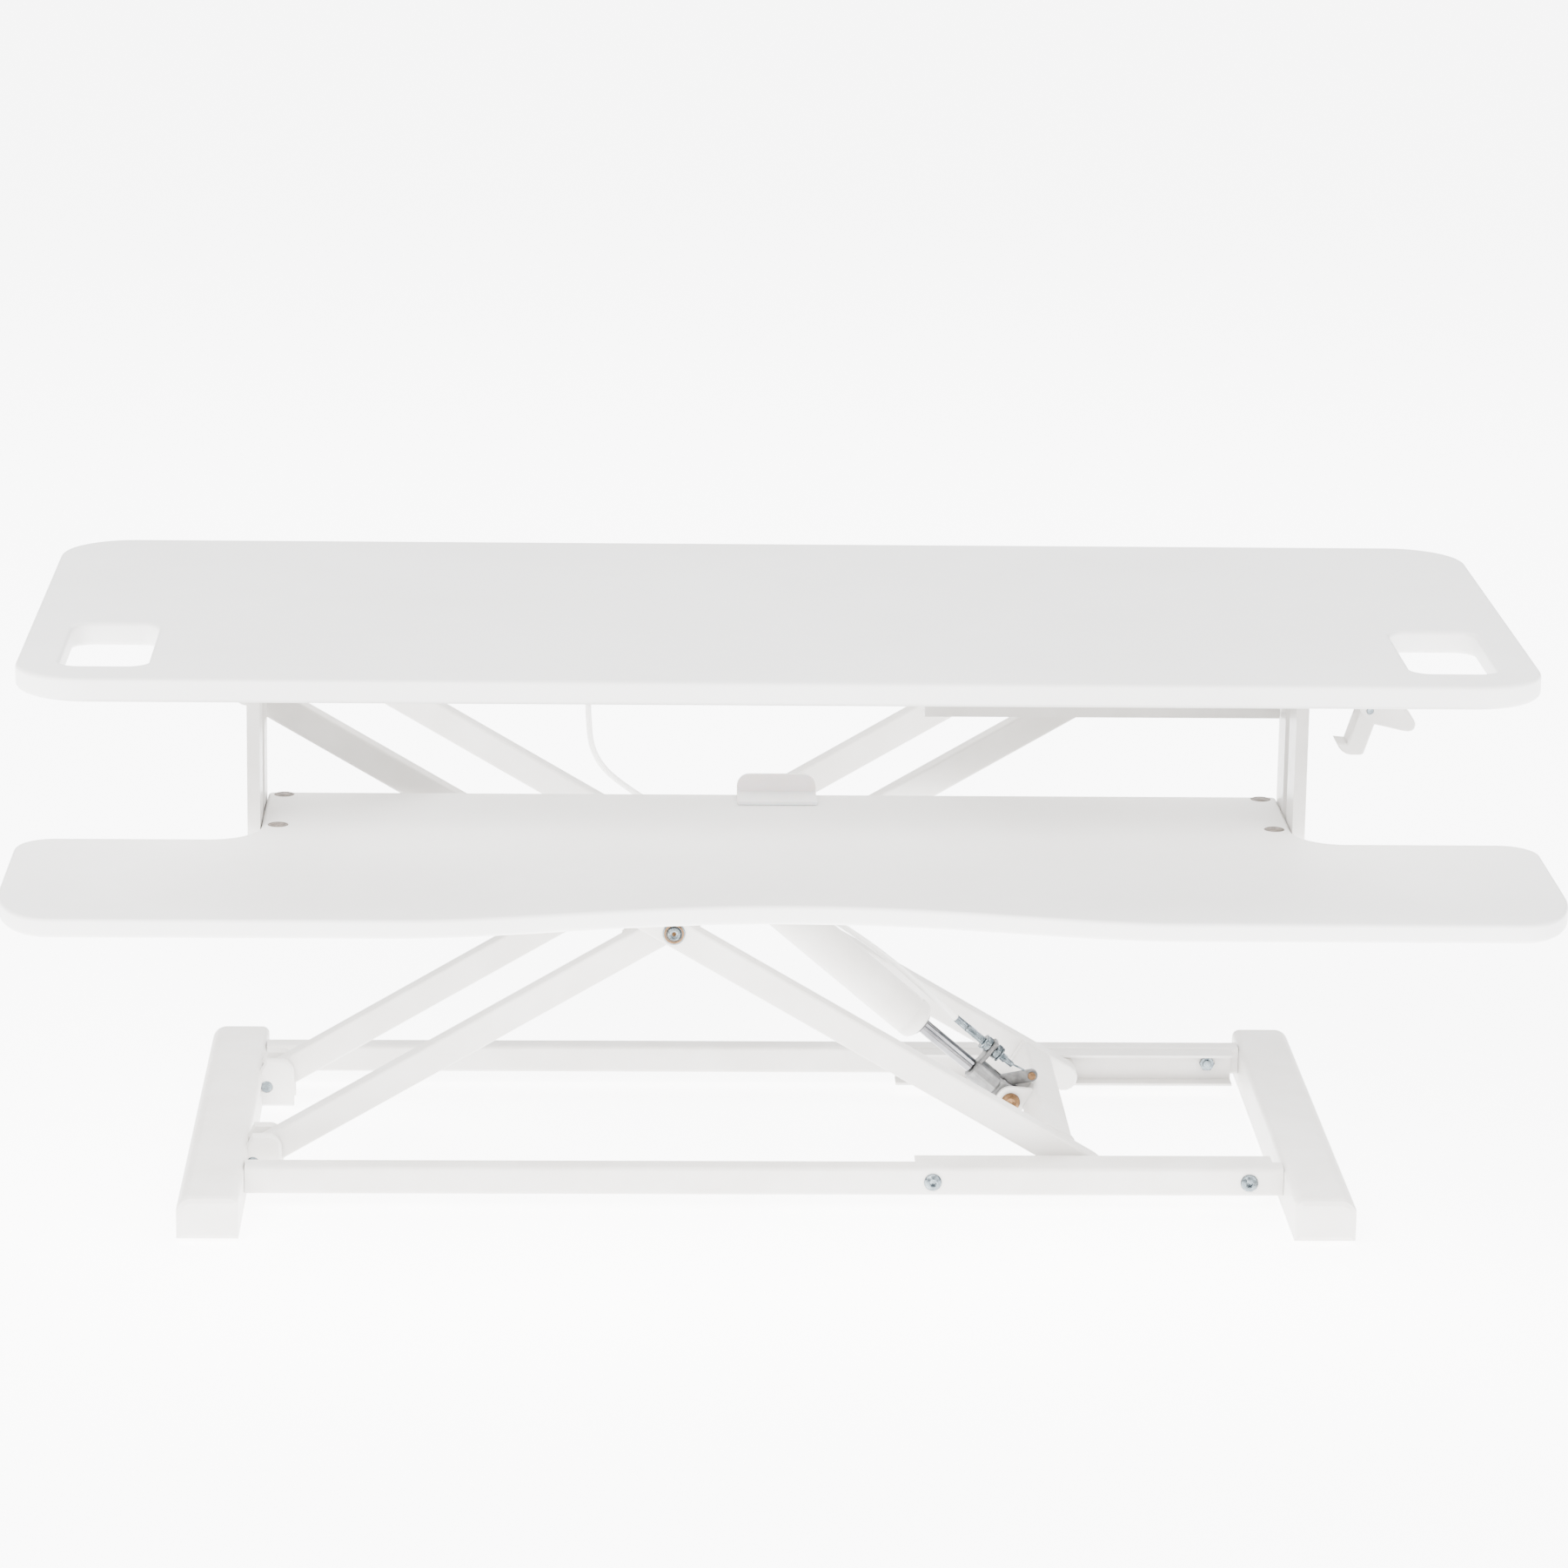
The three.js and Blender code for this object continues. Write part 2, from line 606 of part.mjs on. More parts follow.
function pivotPin(at) {
  const end = TANG_THICK / 2 + 0.5 + EAR + GAP;
  const profile = [
    [0, -end - 3],
    [6, -end - 3],
    [6.6, -end],
    [PIN_RADIUS, -end],
    [PIN_RADIUS, end],
    [6.6, end],
    [6, end + 2],
    [0, end + 2],
  ];
  return turned("y", profile, at.x, at.y, 16);
}
addPiece(innerArms, "spring_upper_pin", pivotPin(SPRING_HEAD), ZINC);
addPiece(outerArms, "spring_lower_pin", pivotPin(SPRING_FOOT), ZINC);

// ---------------------------------------------------------------- gas spring
// Along the spring, x is negative from the lower pivot towards the cylinder, and z is the cable's side.
const turnBy = (v, angle) => v.clone().rotateAround(new THREE.Vector2(), angle);
const footAt = turnBy(SPRING_FOOT, -REST_ANGLE).add(CENTRE);
const headAt = turnBy(SPRING_HEAD, REST_ANGLE).add(CENTRE);
const springLength = footAt.distanceTo(headAt);
const springAngle = Math.atan2(headAt.y - footAt.y, footAt.x - headAt.x);
const spring = new THREE.Group();
spring.position.set(footAt.x, MID_Y, footAt.y);
spring.rotation.y = springAngle;
converter.add(spring);

const CYLINDER_END = HEAD_END + GAP + ROD_SHOWN;
const CYLINDER_TOP = springLength - 19;

function gasCylinder() {
  const r = CYLINDER_RADIUS;
  const a = -CYLINDER_END;
  const b = -CYLINDER_TOP;
  const profile = [
    [0, b],
    [r - 3, b],
    [r - 0.9, b + 1],
    [r, b + 3],
    [r, a - 6],
    [r - 1.2, a - 2.6],
    [r - 4, a - 0.6],
    [r - 6.5, a],
    [0, a],
  ];
  const tube = turned("x", profile, 0, 0, 24);
  const half = TANG_THICK / 2;
  const tangEnd = -springLength - 9.6;
  const outline = roundedBox(tangEnd, b + 4, 1.4 - r, 10, 5);
  const reach = PIN_RADIUS + EYE_PLAY;
  const slot = roundedBox(-springLength - reach, reach - springLength, -PIN_HOLE - EYE_SLOT, PIN_HOLE, 4);
  const bore = disc("x", ROD_RADIUS + GAP, a - CYLINDER_BORE, a + 1, 0, 0, 20);
  return cut(join(tube, prism("y", outline, -half, half, 1)), bore, prism("y", slot, -half - 1, half + 1));
}

const LEVER_PIVOT = vec(-11, 6.5);
const LEVER_THICK = 3.6;

// The cast head on the rod's end: an eye on the lower pin, a round body and a tab for the cable.
function releaseHead() {
  const half = TANG_THICK / 2;
  const eye = lugPlate(vec(-16, 7), vec(-16, -7), vec(0, 0), 8.5);
  const body = turned("x", [
    [0, -HEAD_END],
    [7.2, -HEAD_END],
    [8.4, -HEAD_END + 1.2],
    [8.4, -14],
    [7, -12],
    [0, -12],
  ]);
  const tab = roundedBox(-HEAD_END, -HEAD_END + 3.4, 0, CABLE_OFFSET + 6, 1);
  const tongue = prism("y", tab, -5.5, 5.5, 0.8);
  const slot = LEVER_THICK / 2 + 0.5;
  const rivet = disc("y", 1.6, -half + 0.4, half - 0.4, LEVER_PIVOT.x, LEVER_PIVOT.y, 12);
  const head = cut(
    join(prism("y", eye, -half, half, 1), body, tongue),
    disc("y", PIN_HOLE, -20, 20, 0, 0),
    box(-21, 12, -slot, slot, 0.5, 14),
    disc("x", 3.3, -HEAD_END - 2, -HEAD_END + 6, 0, CABLE_OFFSET, 16),
  );
  return join(head, rivet);
}

// The release lever: a bell crank in the head's slot that the cable pulls towards the cylinder.
function releaseLever() {
  const half = LEVER_THICK / 2;
  const tip = vec(1, CABLE_OFFSET + 3.2);
  const outline = hull([...circlePoints(LEVER_PIVOT, 4.2, 20), ...circlePoints(tip, 4.2, 20)]);
  const plate = prism("y", outline, -half, half, 0.5);
  return cut(
    plate,
    disc("y", 1.9, -5, 5, LEVER_PIVOT.x, LEVER_PIVOT.y, 12),
    disc("y", 1.3, -5, 5, tip.x, tip.y, 12),
  );
}

// The threaded cable stop with its two lock nuts, one on each side of the tab.
function cableAdjuster() {
  const tabFar = -HEAD_END;
  const tabNear = -HEAD_END + 3.4;
  const profile = [
    [0, -55],
    [2.6, -55],
    [3, -54.4],
    [3, tabNear + 11],
    [2.1, tabNear + 11],
    [2.1, tabNear + 17],
    [0, tabNear + 17],
  ];
  const barrel = turned("x", profile, 0, CABLE_OFFSET, 16);
  const nut = (a, b) => disc("x", 5.6, a, b, 0, CABLE_OFFSET, 6);
  const bore = disc("x", 0.9, -60, 10, 0, CABLE_OFFSET, 8);
  return cut(
    join(barrel, nut(tabNear + GAP, tabNear + GAP + 4.5), nut(tabFar - GAP - 4.5, tabFar - GAP)),
    bore,
  );
}

addPiece(spring, "gas_cylinder", gasCylinder(), PAINT);
const rodInner = -CYLINDER_END - ROD_HIDDEN;
addPiece(spring, "piston_rod", disc("x", ROD_RADIUS, rodInner, -HEAD_END - GAP, 0, 0, 24), CHROME);
addPiece(spring, "release_head", releaseHead(), CAST);
addPiece(spring, "release_lever", releaseLever(), CAST);
addPiece(spring, "cable_adjuster", cableAdjuster(), ZINC);

// ---------------------------------------------------------------- desktop
function desktop() {
  const half = DESK_WIDTH / 2;
  const rear = DESK_FRONT + DESK_DEPTH;
  const outline = roundedBox(-half, half, DESK_FRONT, rear, DESK_CORNER);
  const y0 = DESK_FRONT + SLOT_SETBACK;
  for (const side of [-1, 1]) {
    const a = side * (half - SLOT_INSET);
    const b = side * (half - SLOT_INSET - SLOT_WIDTH);
    const x0 = Math.min(a, b);
    outline.holes.push(roundedBox(x0, x0 + SLOT_WIDTH, y0, y0 + SLOT_LENGTH, SLOT_CORNER, THREE.Path));
  }
  return prism("z", outline, DESK_UNDER, DESK_TOP, EDGE_ROUND, 2, 4);
}
addPiece(converter, "desktop", desktop(), BOARD);

// ---------------------------------------------------------------- keyboard tray
function trayOutline() {
  const half = TRAY_WIDTH / 2;
  const right = new THREE.Shape();
  const scoop = TRAY_FRONT + TRAY_SCOOP;
  const flat = half - TRAY_END_REACH;
  const reach = TRAY_SCOOP_HALF;
  const frontTurn = TRAY_FRONT + TRAY_END_SWEEP;
  const fillet = TRAY_FILLET;
  const e = TRAY_END_REAR;
  const neck = TRAY_NECK_HALF;
  right.moveTo(0, scoop);
  right.bezierCurveTo(reach * 0.42, scoop, reach * 0.72, TRAY_FRONT, reach, TRAY_FRONT);
  right.lineTo(flat, TRAY_FRONT);
  right.bezierCurveTo(half - 12, TRAY_FRONT, half, frontTurn - 28, half, frontTurn);
  right.lineTo(half, TRAY_WING_REAR - e);
  right.absarc(half - e, TRAY_WING_REAR - e, e, 0, Math.PI / 2, false);
  right.lineTo(neck + fillet, TRAY_WING_REAR);
  right.absarc(neck + fillet, TRAY_WING_REAR + fillet, fillet, Math.PI * 1.5, Math.PI, true);
  right.lineTo(neck, TRAY_REAR - 3);
  right.absarc(neck - 3, TRAY_REAR - 3, 3, 0, Math.PI / 2, false);
  const points = right.getPoints(6);
  const mirrored = points.filter((p) => p.x > 1e-6).map((p) => vec(-p.x, p.y));
  return new THREE.Shape([...points, ...mirrored.reverse()]);
}

function trayScrewPlaces() {
  const places = [];
  for (const [name, x] of [
    ["left", -TRAY_SCREW_X],
    ["right", TRAY_SCREW_X],
  ]) {
    TRAY_SCREWS_Y.forEach((y, i) => places.push([`${name}_${i === 0 ? "front" : "rear"}`, x, y]));
  }
  return places;
}

let tray = prism("z", trayOutline(), TRAY_UNDER, TRAY_TOP, EDGE_ROUND - 0.5, 2);
for (const [name, x, y] of trayScrewPlaces()) {
  tray = cut(tray, disc("z", CAP_RADIUS + GAP, TRAY_UNDER - 5, TRAY_TOP + 5, x, y));
  const cap = disc("z", CAP_RADIUS, TRAY_UNDER + GAP, TRAY_TOP + 0.3, x, y, 24);
  addPiece(converter, `tray_screw_cap_${name}`, cap, CAP);
}
addPiece(converter, "keyboard_tray", tray, BOARD);

// The stop at the tray's rear edge: a foot on the tray and a round-cornered upright.
function trayStop() {
  const half = 25.5;
  const foot = box(-half, half, TRAY_REAR - 28, TRAY_REAR - 0.5, TRAY_TOP + GAP, TRAY_TOP + 2.5);
  const r = 8;
  const face = new THREE.Shape();
  const top = TRAY_TOP + 14;
  face.moveTo(-half, TRAY_TOP + GAP);
  face.lineTo(half, TRAY_TOP + GAP);
  face.lineTo(half, top - r);
  face.absarc(half - r, top - r, r, 0, Math.PI / 2, false);
  face.lineTo(-half + r, top);
  face.absarc(-half + r, top - r, r, Math.PI / 2, Math.PI, false);
  face.closePath();
  return join(foot, prism("y", face, TRAY_REAR - 3, TRAY_REAR - 0.5)).translate([1.5, 0, 0]);
}
addPiece(converter, "tray_stop", trayStop(), MOULDED);

// ---------------------------------------------------------------- hangers
// A pressed plate down each side of the tray's neck, with returned edges, a rib, and two flanges.
function hanger(side) {
  const low = TRAY_UNDER - GAP - 2.4;
  const high = DESK_UNDER - GAP;
  const t = 2;
  const x = (d) => side * (HANGER_X + d);
  const section = new THREE.Shape();
  const mid = (HANGER_FRONT + HANGER_REAR) / 2;
  const rib = 7;
  const depth = 3;
  const points = [
    [0, HANGER_FRONT],
    [HANGER_FLANGE, HANGER_FRONT],
    [HANGER_FLANGE, HANGER_FRONT + t],
    [t, HANGER_FRONT + t],
    [t, mid - rib - depth],
    [t + depth, mid - rib],
    [t + depth, mid + rib],
    [t, mid + rib + depth],
    [t, HANGER_REAR - t],
    [HANGER_FLANGE, HANGER_REAR - t],
    [HANGER_FLANGE, HANGER_REAR],
    [0, HANGER_REAR],
    [0, mid + rib + depth],
    [depth, mid + rib],
    [depth, mid - rib],
    [0, mid - rib - depth],
  ].map(([d, y]) => vec(x(d), y));
  section.setFromPoints(side < 0 ? points.reverse() : points);
  const web = prism("z", section, low, high);
  const flange = (d0, d1, z0, z1) => {
    const a = x(d0);
    const b = x(d1);
    return box(Math.min(a, b), Math.max(a, b), HANGER_FRONT, HANGER_REAR, z0, z1);
  };
  const bottom = flange(-21, 1, low, low + 2.4);
  const top = flange(1, 26, high - 2.4, high);
  return join(web, bottom, top);
}
addPiece(converter, "hanger_left", hanger(-1), PAINT);
addPiece(converter, "hanger_right", hanger(1), PAINT);

// ---------------------------------------------------------------- top frame
const BAR_TOP = DESK_UNDER - GAP;
const CHANNEL_TAIL = BAR_TOP - 0.5 - (TOP_PIVOT_Z + CHANNEL_HIGH / 2);

// An inverted U under the desktop that holds the upper end of one outer arm.
function topHinge(side) {
  const inner = OUTER_OFFSET - ARM_WIDE / 2 - 0.5;
  const outer = OUTER_OFFSET + ARM_WIDE / 2 + 0.5;
  const t = 2.5;
  const plateZ = BAR_TOP - t;
  const half = 16;
  const [p0, p1] = span(side, inner - t, outer + t);
  const plate = box(-half, half, p0, p1, plateZ, BAR_TOP);
  const cheek = lugPlate(vec(half - 2, plateZ + 1), vec(-half + 2, plateZ + 1), vec(0, TOP_PIVOT_Z), 9.5);
  const cheeks = [inner - t, outer].map((near) => {
    const [y0, y1] = span(side, near, near + t);
    return prism("y", cheek, y0, y1);
  });
  const whole = cut(join(plate, ...cheeks), disc("y", PIN_HOLE, -150, 150, 0, TOP_PIVOT_Z));
  return whole.translate([PIVOT_X, MID_Y, 0]);
}

function cheekOutline(outline) {
  const points = outline.getPoints(8);
  if (THREE.ShapeUtils.isClockWise(points)) points.reverse();
  return new THREE.Shape(points);
}

for (const [name, side] of SIDES) {
  const bar = rail(side, -TOP_BAR_HALF, TOP_BAR_HALF, BAR_TOP - RAIL_HIGH);
  addPiece(converter, `top_bar_${name}`, bar, PAINT);
  const track = channel(side, TOP_PIVOT_Z, TOP_BAR_HALF, CHANNEL_TAIL);
  addPiece(converter, `top_channel_${name}`, track, PAINT);
  addPiece(converter, `top_hinge_bracket_${name}`, topHinge(side), PAINT);
  const arm = MID_Y + side * OUTER_OFFSET;
  const reach = ARM_WIDE / 2 + 0.5 + 2.5 + 0.8;
  const pin = disc("y", PIN_RADIUS, arm - reach, arm + reach, PIVOT_X, TOP_PIVOT_Z);
  addPiece(converter, `top_hinge_pin_${name}`, pin, ZINC);
}

// ---------------------------------------------------------------- squeeze lever and its bracket
const LEVER_X = 368;
const LEVER_Y = -93;
const LEVER_Z = DESK_UNDER - 11;
const LEVER_WIDE = 20;

function leverBracket() {
  const inner = LEVER_WIDE / 2 + 0.5;
  const t = 2;
  const plate = box(-16, 14, -inner - t, inner + t, DESK_UNDER - GAP - t, DESK_UNDER - GAP);
  const eye = vec(0, LEVER_Z);
  const foot = DESK_UNDER - GAP - t + 0.5;
  const cheek = lugPlate(vec(12, foot), vec(-12, foot), eye, 5);
  const parts = [prism("y", cheek, -inner - t, -inner), prism("y", cheek, inner, inner + t)];
  const stop = box(-16, -14, -inner - t, inner + t, DESK_UNDER - GAP - 9, DESK_UNDER - GAP);
  const whole = cut(
    join(plate, ...parts, stop),
    disc("y", 2 + RUN, -20, 20, 0, LEVER_Z),
    disc("x", CABLE_RADIUS + GAP, -30, -5, 0, LEVER_Z + 6.4, 12),
  );
  return whole.translate([LEVER_X, LEVER_Y, 0]);
}

// The moulded lever: a finger paddle that reaches out under the hand slot, and a leg with a lip.
function squeezeLever() {
  const half = LEVER_WIDE / 2;
  const o = new THREE.Shape();
  o.moveTo(-5.5, 1);
  o.lineTo(-13, -22);
  o.lineTo(-20, -21.4);
  o.quadraticCurveTo(-17, -28.5, -10.5, -29.2);
  o.lineTo(-5, -29.2);
  o.quadraticCurveTo(-2.6, -29.2, -2, -26.4);
  o.lineTo(3.6, -9.4);
  o.lineTo(22, -13.6);
  o.quadraticCurveTo(29, -15, 29.4, -9.8);
  o.quadraticCurveTo(29.4, -6.6, 25, -2.4);
  o.lineTo(20.4, 2.8);
  o.lineTo(9, 4.6);
  o.absarc(0, 0, 5.5, 0.7, Math.PI * 0.95, false);
  o.closePath();
  const lever = prism("y", o, -half, half, 1, 1, 4);
  const bored = cut(lever, disc("y", 2 + RUN, -20, 20, 0, 0, 16));
  return bored.translate([LEVER_X, LEVER_Y, LEVER_Z]);
}
addPiece(converter, "lever_bracket", leverBracket(), PAINT);
addPiece(converter, "squeeze_lever", squeezeLever(), MOULDED);
const leverPinHalf = LEVER_WIDE / 2 + 0.5 + 2 + 0.8;
const leverPin = disc("y", 2, LEVER_Y - leverPinHalf, LEVER_Y + leverPinHalf, LEVER_X, LEVER_Z, 16);
addPiece(converter, "lever_pin", leverPin, ZINC);

// ---------------------------------------------------------------- release cable
// The outer cable runs from the lever bracket under the desktop, hangs down behind the tray and
// follows the gas spring to the threaded stop.
const CABLE_TURN = DESK_UNDER - 4.6;
const stopEnd = vec(-55 - GAP, CABLE_OFFSET).rotateAround(vec(0, 0), -springAngle).add(footAt);
const stopAway = vec(-Math.cos(springAngle), Math.sin(springAngle));
// From the desktop's underside (0) down to the spring's upper pin (1), and from the pin to the stop.
const hang = (dx, dy, share) =>
  new THREE.Vector3(headAt.x + dx, MID_Y + dy, THREE.MathUtils.lerp(CABLE_TURN, headAt.y, share));
const under = (dx, share, drop) =>
  hang(dx, THREE.MathUtils.lerp(LEVER_Y, MID_Y, share) - MID_Y, drop);
const follow = (dy, share, drop) =>
  new THREE.Vector3(
    THREE.MathUtils.lerp(headAt.x, stopEnd.x, share),
    MID_Y + dy,
    THREE.MathUtils.lerp(headAt.y, stopEnd.y, drop),
  );
const cableRoute = new THREE.CatmullRomCurve3([
  new THREE.Vector3(LEVER_X - 16.6, LEVER_Y, CABLE_TURN),
  new THREE.Vector3(300, -92, CABLE_TURN),
  new THREE.Vector3(200, -90, CABLE_TURN),
  new THREE.Vector3(100, -90, CABLE_TURN),
  new THREE.Vector3(0, -90, CABLE_TURN),
  under(-18.5, 0.0425, 0),
  under(-54.5, 0.1462, 0.026),
  under(-69.5, 0.2736, 0.11),
  under(-73.5, 0.3915, 0.142),
  under(-75.5, 0.533, 0.142),
  under(-76.5, 0.7123, 0.161),
  hang(-76.5, -33, 0.271),
  hang(-76, -20, 0.426),
  hang(-73.5, -12, 0.561),
  hang(-65.5, -3, 0.671),
  hang(-48.5, 7, 0.781),
  hang(-16.5, 18, 0.929),
  follow(22, 0.131, 0.132),
  follow(22, 0.409, 0.388),
  follow(15, 0.676, 0.629),
  new THREE.Vector3(stopEnd.x + 26 * stopAway.x, MID_Y + 5, stopEnd.y + 26 * stopAway.y),
  new THREE.Vector3(stopEnd.x + 9 * stopAway.x, MID_Y, stopEnd.y + 9 * stopAway.y),
  new THREE.Vector3(stopEnd.x, MID_Y, stopEnd.y),
]);

function cable() {
  const round = new THREE.Shape();
  const sides = 8;
  for (let i = 0; i < sides; i += 1) {
    const a = (i / sides) * 2 * Math.PI;
    const p = [CABLE_RADIUS * Math.cos(a), CABLE_RADIUS * Math.sin(a)];
    if (i === 0) round.moveTo(...p);
    else round.lineTo(...p);
  }
  round.closePath();
  return solid(new THREE.ExtrudeGeometry(round, { steps: 76, extrudePath: cableRoute }));
}
addPiece(converter, "release_cable", cable(), MOULDED);

// A saddle clip that holds the cable against the desktop.
function cableClip(x, y) {
  const bore = CABLE_RADIUS + 0.5;
  const wall = 1.5;
  const top = DESK_UNDER - GAP;
  const o = new THREE.Shape();
  o.moveTo(y - 10, top);
  o.lineTo(y - 10, top - 2);
  o.lineTo(y - bore - wall, top - 2);
  o.lineTo(y - bore - wall, CABLE_TURN);
  o.absarc(y, CABLE_TURN, bore + wall, Math.PI, 2 * Math.PI, false);
  o.lineTo(y + bore + wall, top);
  o.closePath();
  const hole = disc("x", bore, x - 8, x + 8, y, CABLE_TURN, 16);
  const solidOutline = cheekOutline(o);
  return cut(prism("x", solidOutline, x - 5, x + 5), hole);
}
addPiece(converter, "cable_clip_right", cableClip(200, -90), MOULDED);
addPiece(converter, "cable_clip_left", cableClip(0, -90), MOULDED);

export default converter;
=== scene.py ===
"""The looks of the standing desk converter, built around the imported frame.

Metres, +X to the user's right, +Y to the rear, +Z up. Turned profiles are in millimetres.
"""

import json
import math

import bmesh
import bpy
from mathutils import Matrix, Vector


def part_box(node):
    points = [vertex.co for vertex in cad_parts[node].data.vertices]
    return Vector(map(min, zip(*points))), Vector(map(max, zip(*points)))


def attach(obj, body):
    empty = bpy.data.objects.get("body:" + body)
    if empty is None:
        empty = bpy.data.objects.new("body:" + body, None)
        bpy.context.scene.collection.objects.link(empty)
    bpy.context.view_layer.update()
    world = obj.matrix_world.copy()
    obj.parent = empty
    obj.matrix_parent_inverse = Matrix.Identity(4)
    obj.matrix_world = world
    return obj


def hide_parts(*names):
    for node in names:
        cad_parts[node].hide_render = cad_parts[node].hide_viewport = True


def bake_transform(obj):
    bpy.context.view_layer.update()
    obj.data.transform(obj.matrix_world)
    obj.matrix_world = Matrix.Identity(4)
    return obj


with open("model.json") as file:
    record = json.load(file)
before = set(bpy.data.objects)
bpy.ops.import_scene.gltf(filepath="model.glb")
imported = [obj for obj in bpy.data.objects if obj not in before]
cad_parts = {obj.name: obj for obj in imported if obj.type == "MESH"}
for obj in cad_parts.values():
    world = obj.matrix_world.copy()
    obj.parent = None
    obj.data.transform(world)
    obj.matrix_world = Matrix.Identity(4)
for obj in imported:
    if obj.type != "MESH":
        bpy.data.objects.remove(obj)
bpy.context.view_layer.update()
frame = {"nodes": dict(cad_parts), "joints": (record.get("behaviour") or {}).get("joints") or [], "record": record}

MM = 0.001
HEX = math.pi / 3
GAP = 0.3  # mm, between faces of separate pieces that touch
SIDES = (("front", -1), ("rear", 1))
ENDS = ("left", "right")
JOINTS = {joint["name"]: joint for joint in frame["joints"]}
SLOT_OF = {part["node"]: part["material_slot"] for part in frame["record"]["subparts"]}


def pivot(joint):
    """A joint's point in the frame."""
    return Vector(JOINTS[joint]["pos_m"])


def middle(node):
    """The centre of a CAD node's box."""
    low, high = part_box(node)
    return (low + high) / 2


# ---------------------------------------------------------------- materials
class Finish:
    """A material: a principled shader and the textures, in the object's own space, that feed it."""

    def __init__(self, name, metallic=0.0, **sockets):
        self.material = bpy.data.materials.new(name)
        self.material.use_nodes = True
        self.nodes = self.material.node_tree.nodes
        self.links = self.material.node_tree.links
        self.shader = self.nodes["Principled BSDF"]
        self.shader.inputs["Metallic"].default_value = metallic
        for socket, value in sockets.items():
            self.shader.inputs[socket.replace("_", " ")].default_value = value
        self.space = self.nodes.new("ShaderNodeTexCoord").outputs["Object"]

    def noise(self, scale, detail=3.0, distortion=0.0):
        node = self.nodes.new("ShaderNodeTexNoise")
        node.inputs["Scale"].default_value = scale
        node.inputs["Detail"].default_value = detail
        node.inputs["Distortion"].default_value = distortion
        self.links.new(self.space, node.inputs["Vector"])
        return node.outputs["Fac"]

    def cells(self, scale):
        node = self.nodes.new("ShaderNodeTexVoronoi")
        node.inputs["Scale"].default_value = scale
        self.links.new(self.space, node.inputs["Vector"])
        return node.outputs["Distance"]

    def ranged(self, source, low, high, into_low=0.0, into_high=1.0):
        node = self.nodes.new("ShaderNodeMapRange")
        node.inputs["From Min"].default_value = low
        node.inputs["From Max"].default_value = high
        node.inputs["To Min"].default_value = into_low
        node.inputs["To Max"].default_value = into_high
        self.links.new(source, node.inputs["Value"])
        return node.outputs["Result"]

    def mixed(self, share, first, second):
        """Two colours, or outputs that carry a colour, mixed by share."""
        node = self.nodes.new("ShaderNodeMix")
        node.data_type = "RGBA"
        self.links.new(share, node.inputs["Factor"])
        for socket, value in (("A", first), ("B", second)):
            target = [i for i in node.inputs if i.name == socket and i.type == "RGBA"][0]
            if isinstance(value, tuple):
                target.default_value = (*value, 1)
            else:
                self.links.new(value, target)
        return [o for o in node.outputs if o.type == "RGBA"][0]

    def colour(self, source):
        self.links.new(source, self.shader.inputs["Base Color"])

    def rough(self, source, low, high):
        self.links.new(self.ranged(source, 0.3, 0.7, low, high), self.shader.inputs["Roughness"])

    def bump(self, source, height, strength=1.0):
        """Adds a relief of that height, on top of any earlier one."""
        node = self.nodes.new("ShaderNodeBump")
        node.inputs["Strength"].default_value = strength
        node.inputs["Distance"].default_value = height
        self.links.new(source, node.inputs["Height"])
        earlier = self.shader.inputs["Normal"].links
        if earlier:
            self.links.new(earlier[0].from_socket, node.inputs["Normal"])
        self.links.new(node.outputs["Normal"], self.shader.inputs["Normal"])


def coated(name, light, dark, rough, patch, grain, height, **sockets):
    """A painted, laminated or moulded skin: slow changes of shade and a fine grain."""
    finish = Finish(name, **sockets)
    clouds = finish.noise(patch, 4.0)
    finish.colour(finish.mixed(finish.ranged(clouds, 0.35, 0.65), dark, light))
    finish.rough(finish.noise(patch * 6, 3.0), *rough)
    finish.bump(finish.noise(grain, 2.0), height * MM)
    finish.bump(finish.noise(patch * 3, 2.0), height * MM * 2.5, 0.5)
    return finish


def metal(name, light, dark, rough, patch, grain, height):
    """Bare or plated metal: clouded tone, uneven polish and a fine grain."""
    finish = Finish(name, metallic=1.0)
    clouds = finish.noise(patch, 5.0, distortion=0.4)
    finish.colour(finish.mixed(finish.ranged(clouds, 0.3, 0.7), dark, light))
    finish.rough(finish.noise(patch * 4, 4.0), *rough)
    finish.bump(finish.noise(grain, 3.0), height * MM)
    return finish


def speckled_cap():
    """The brown screw caps: dark specks on a mottled ground."""
    cap = Finish("cap")
    speck = cap.ranged(cap.cells(900), 0.25, 0.5)
    mottle = cap.ranged(cap.noise(260, 5.0), 0.4, 0.6)
    ground = cap.mixed(mottle, (0.11, 0.09, 0.075), (0.2, 0.17, 0.15))
    cap.colour(cap.mixed(speck, (0.07, 0.06, 0.05), ground))
    cap.rough(cap.noise(500), 0.5, 0.7)
    cap.bump(cap.noise(1200, 4.0), 0.05 * MM)
    return cap


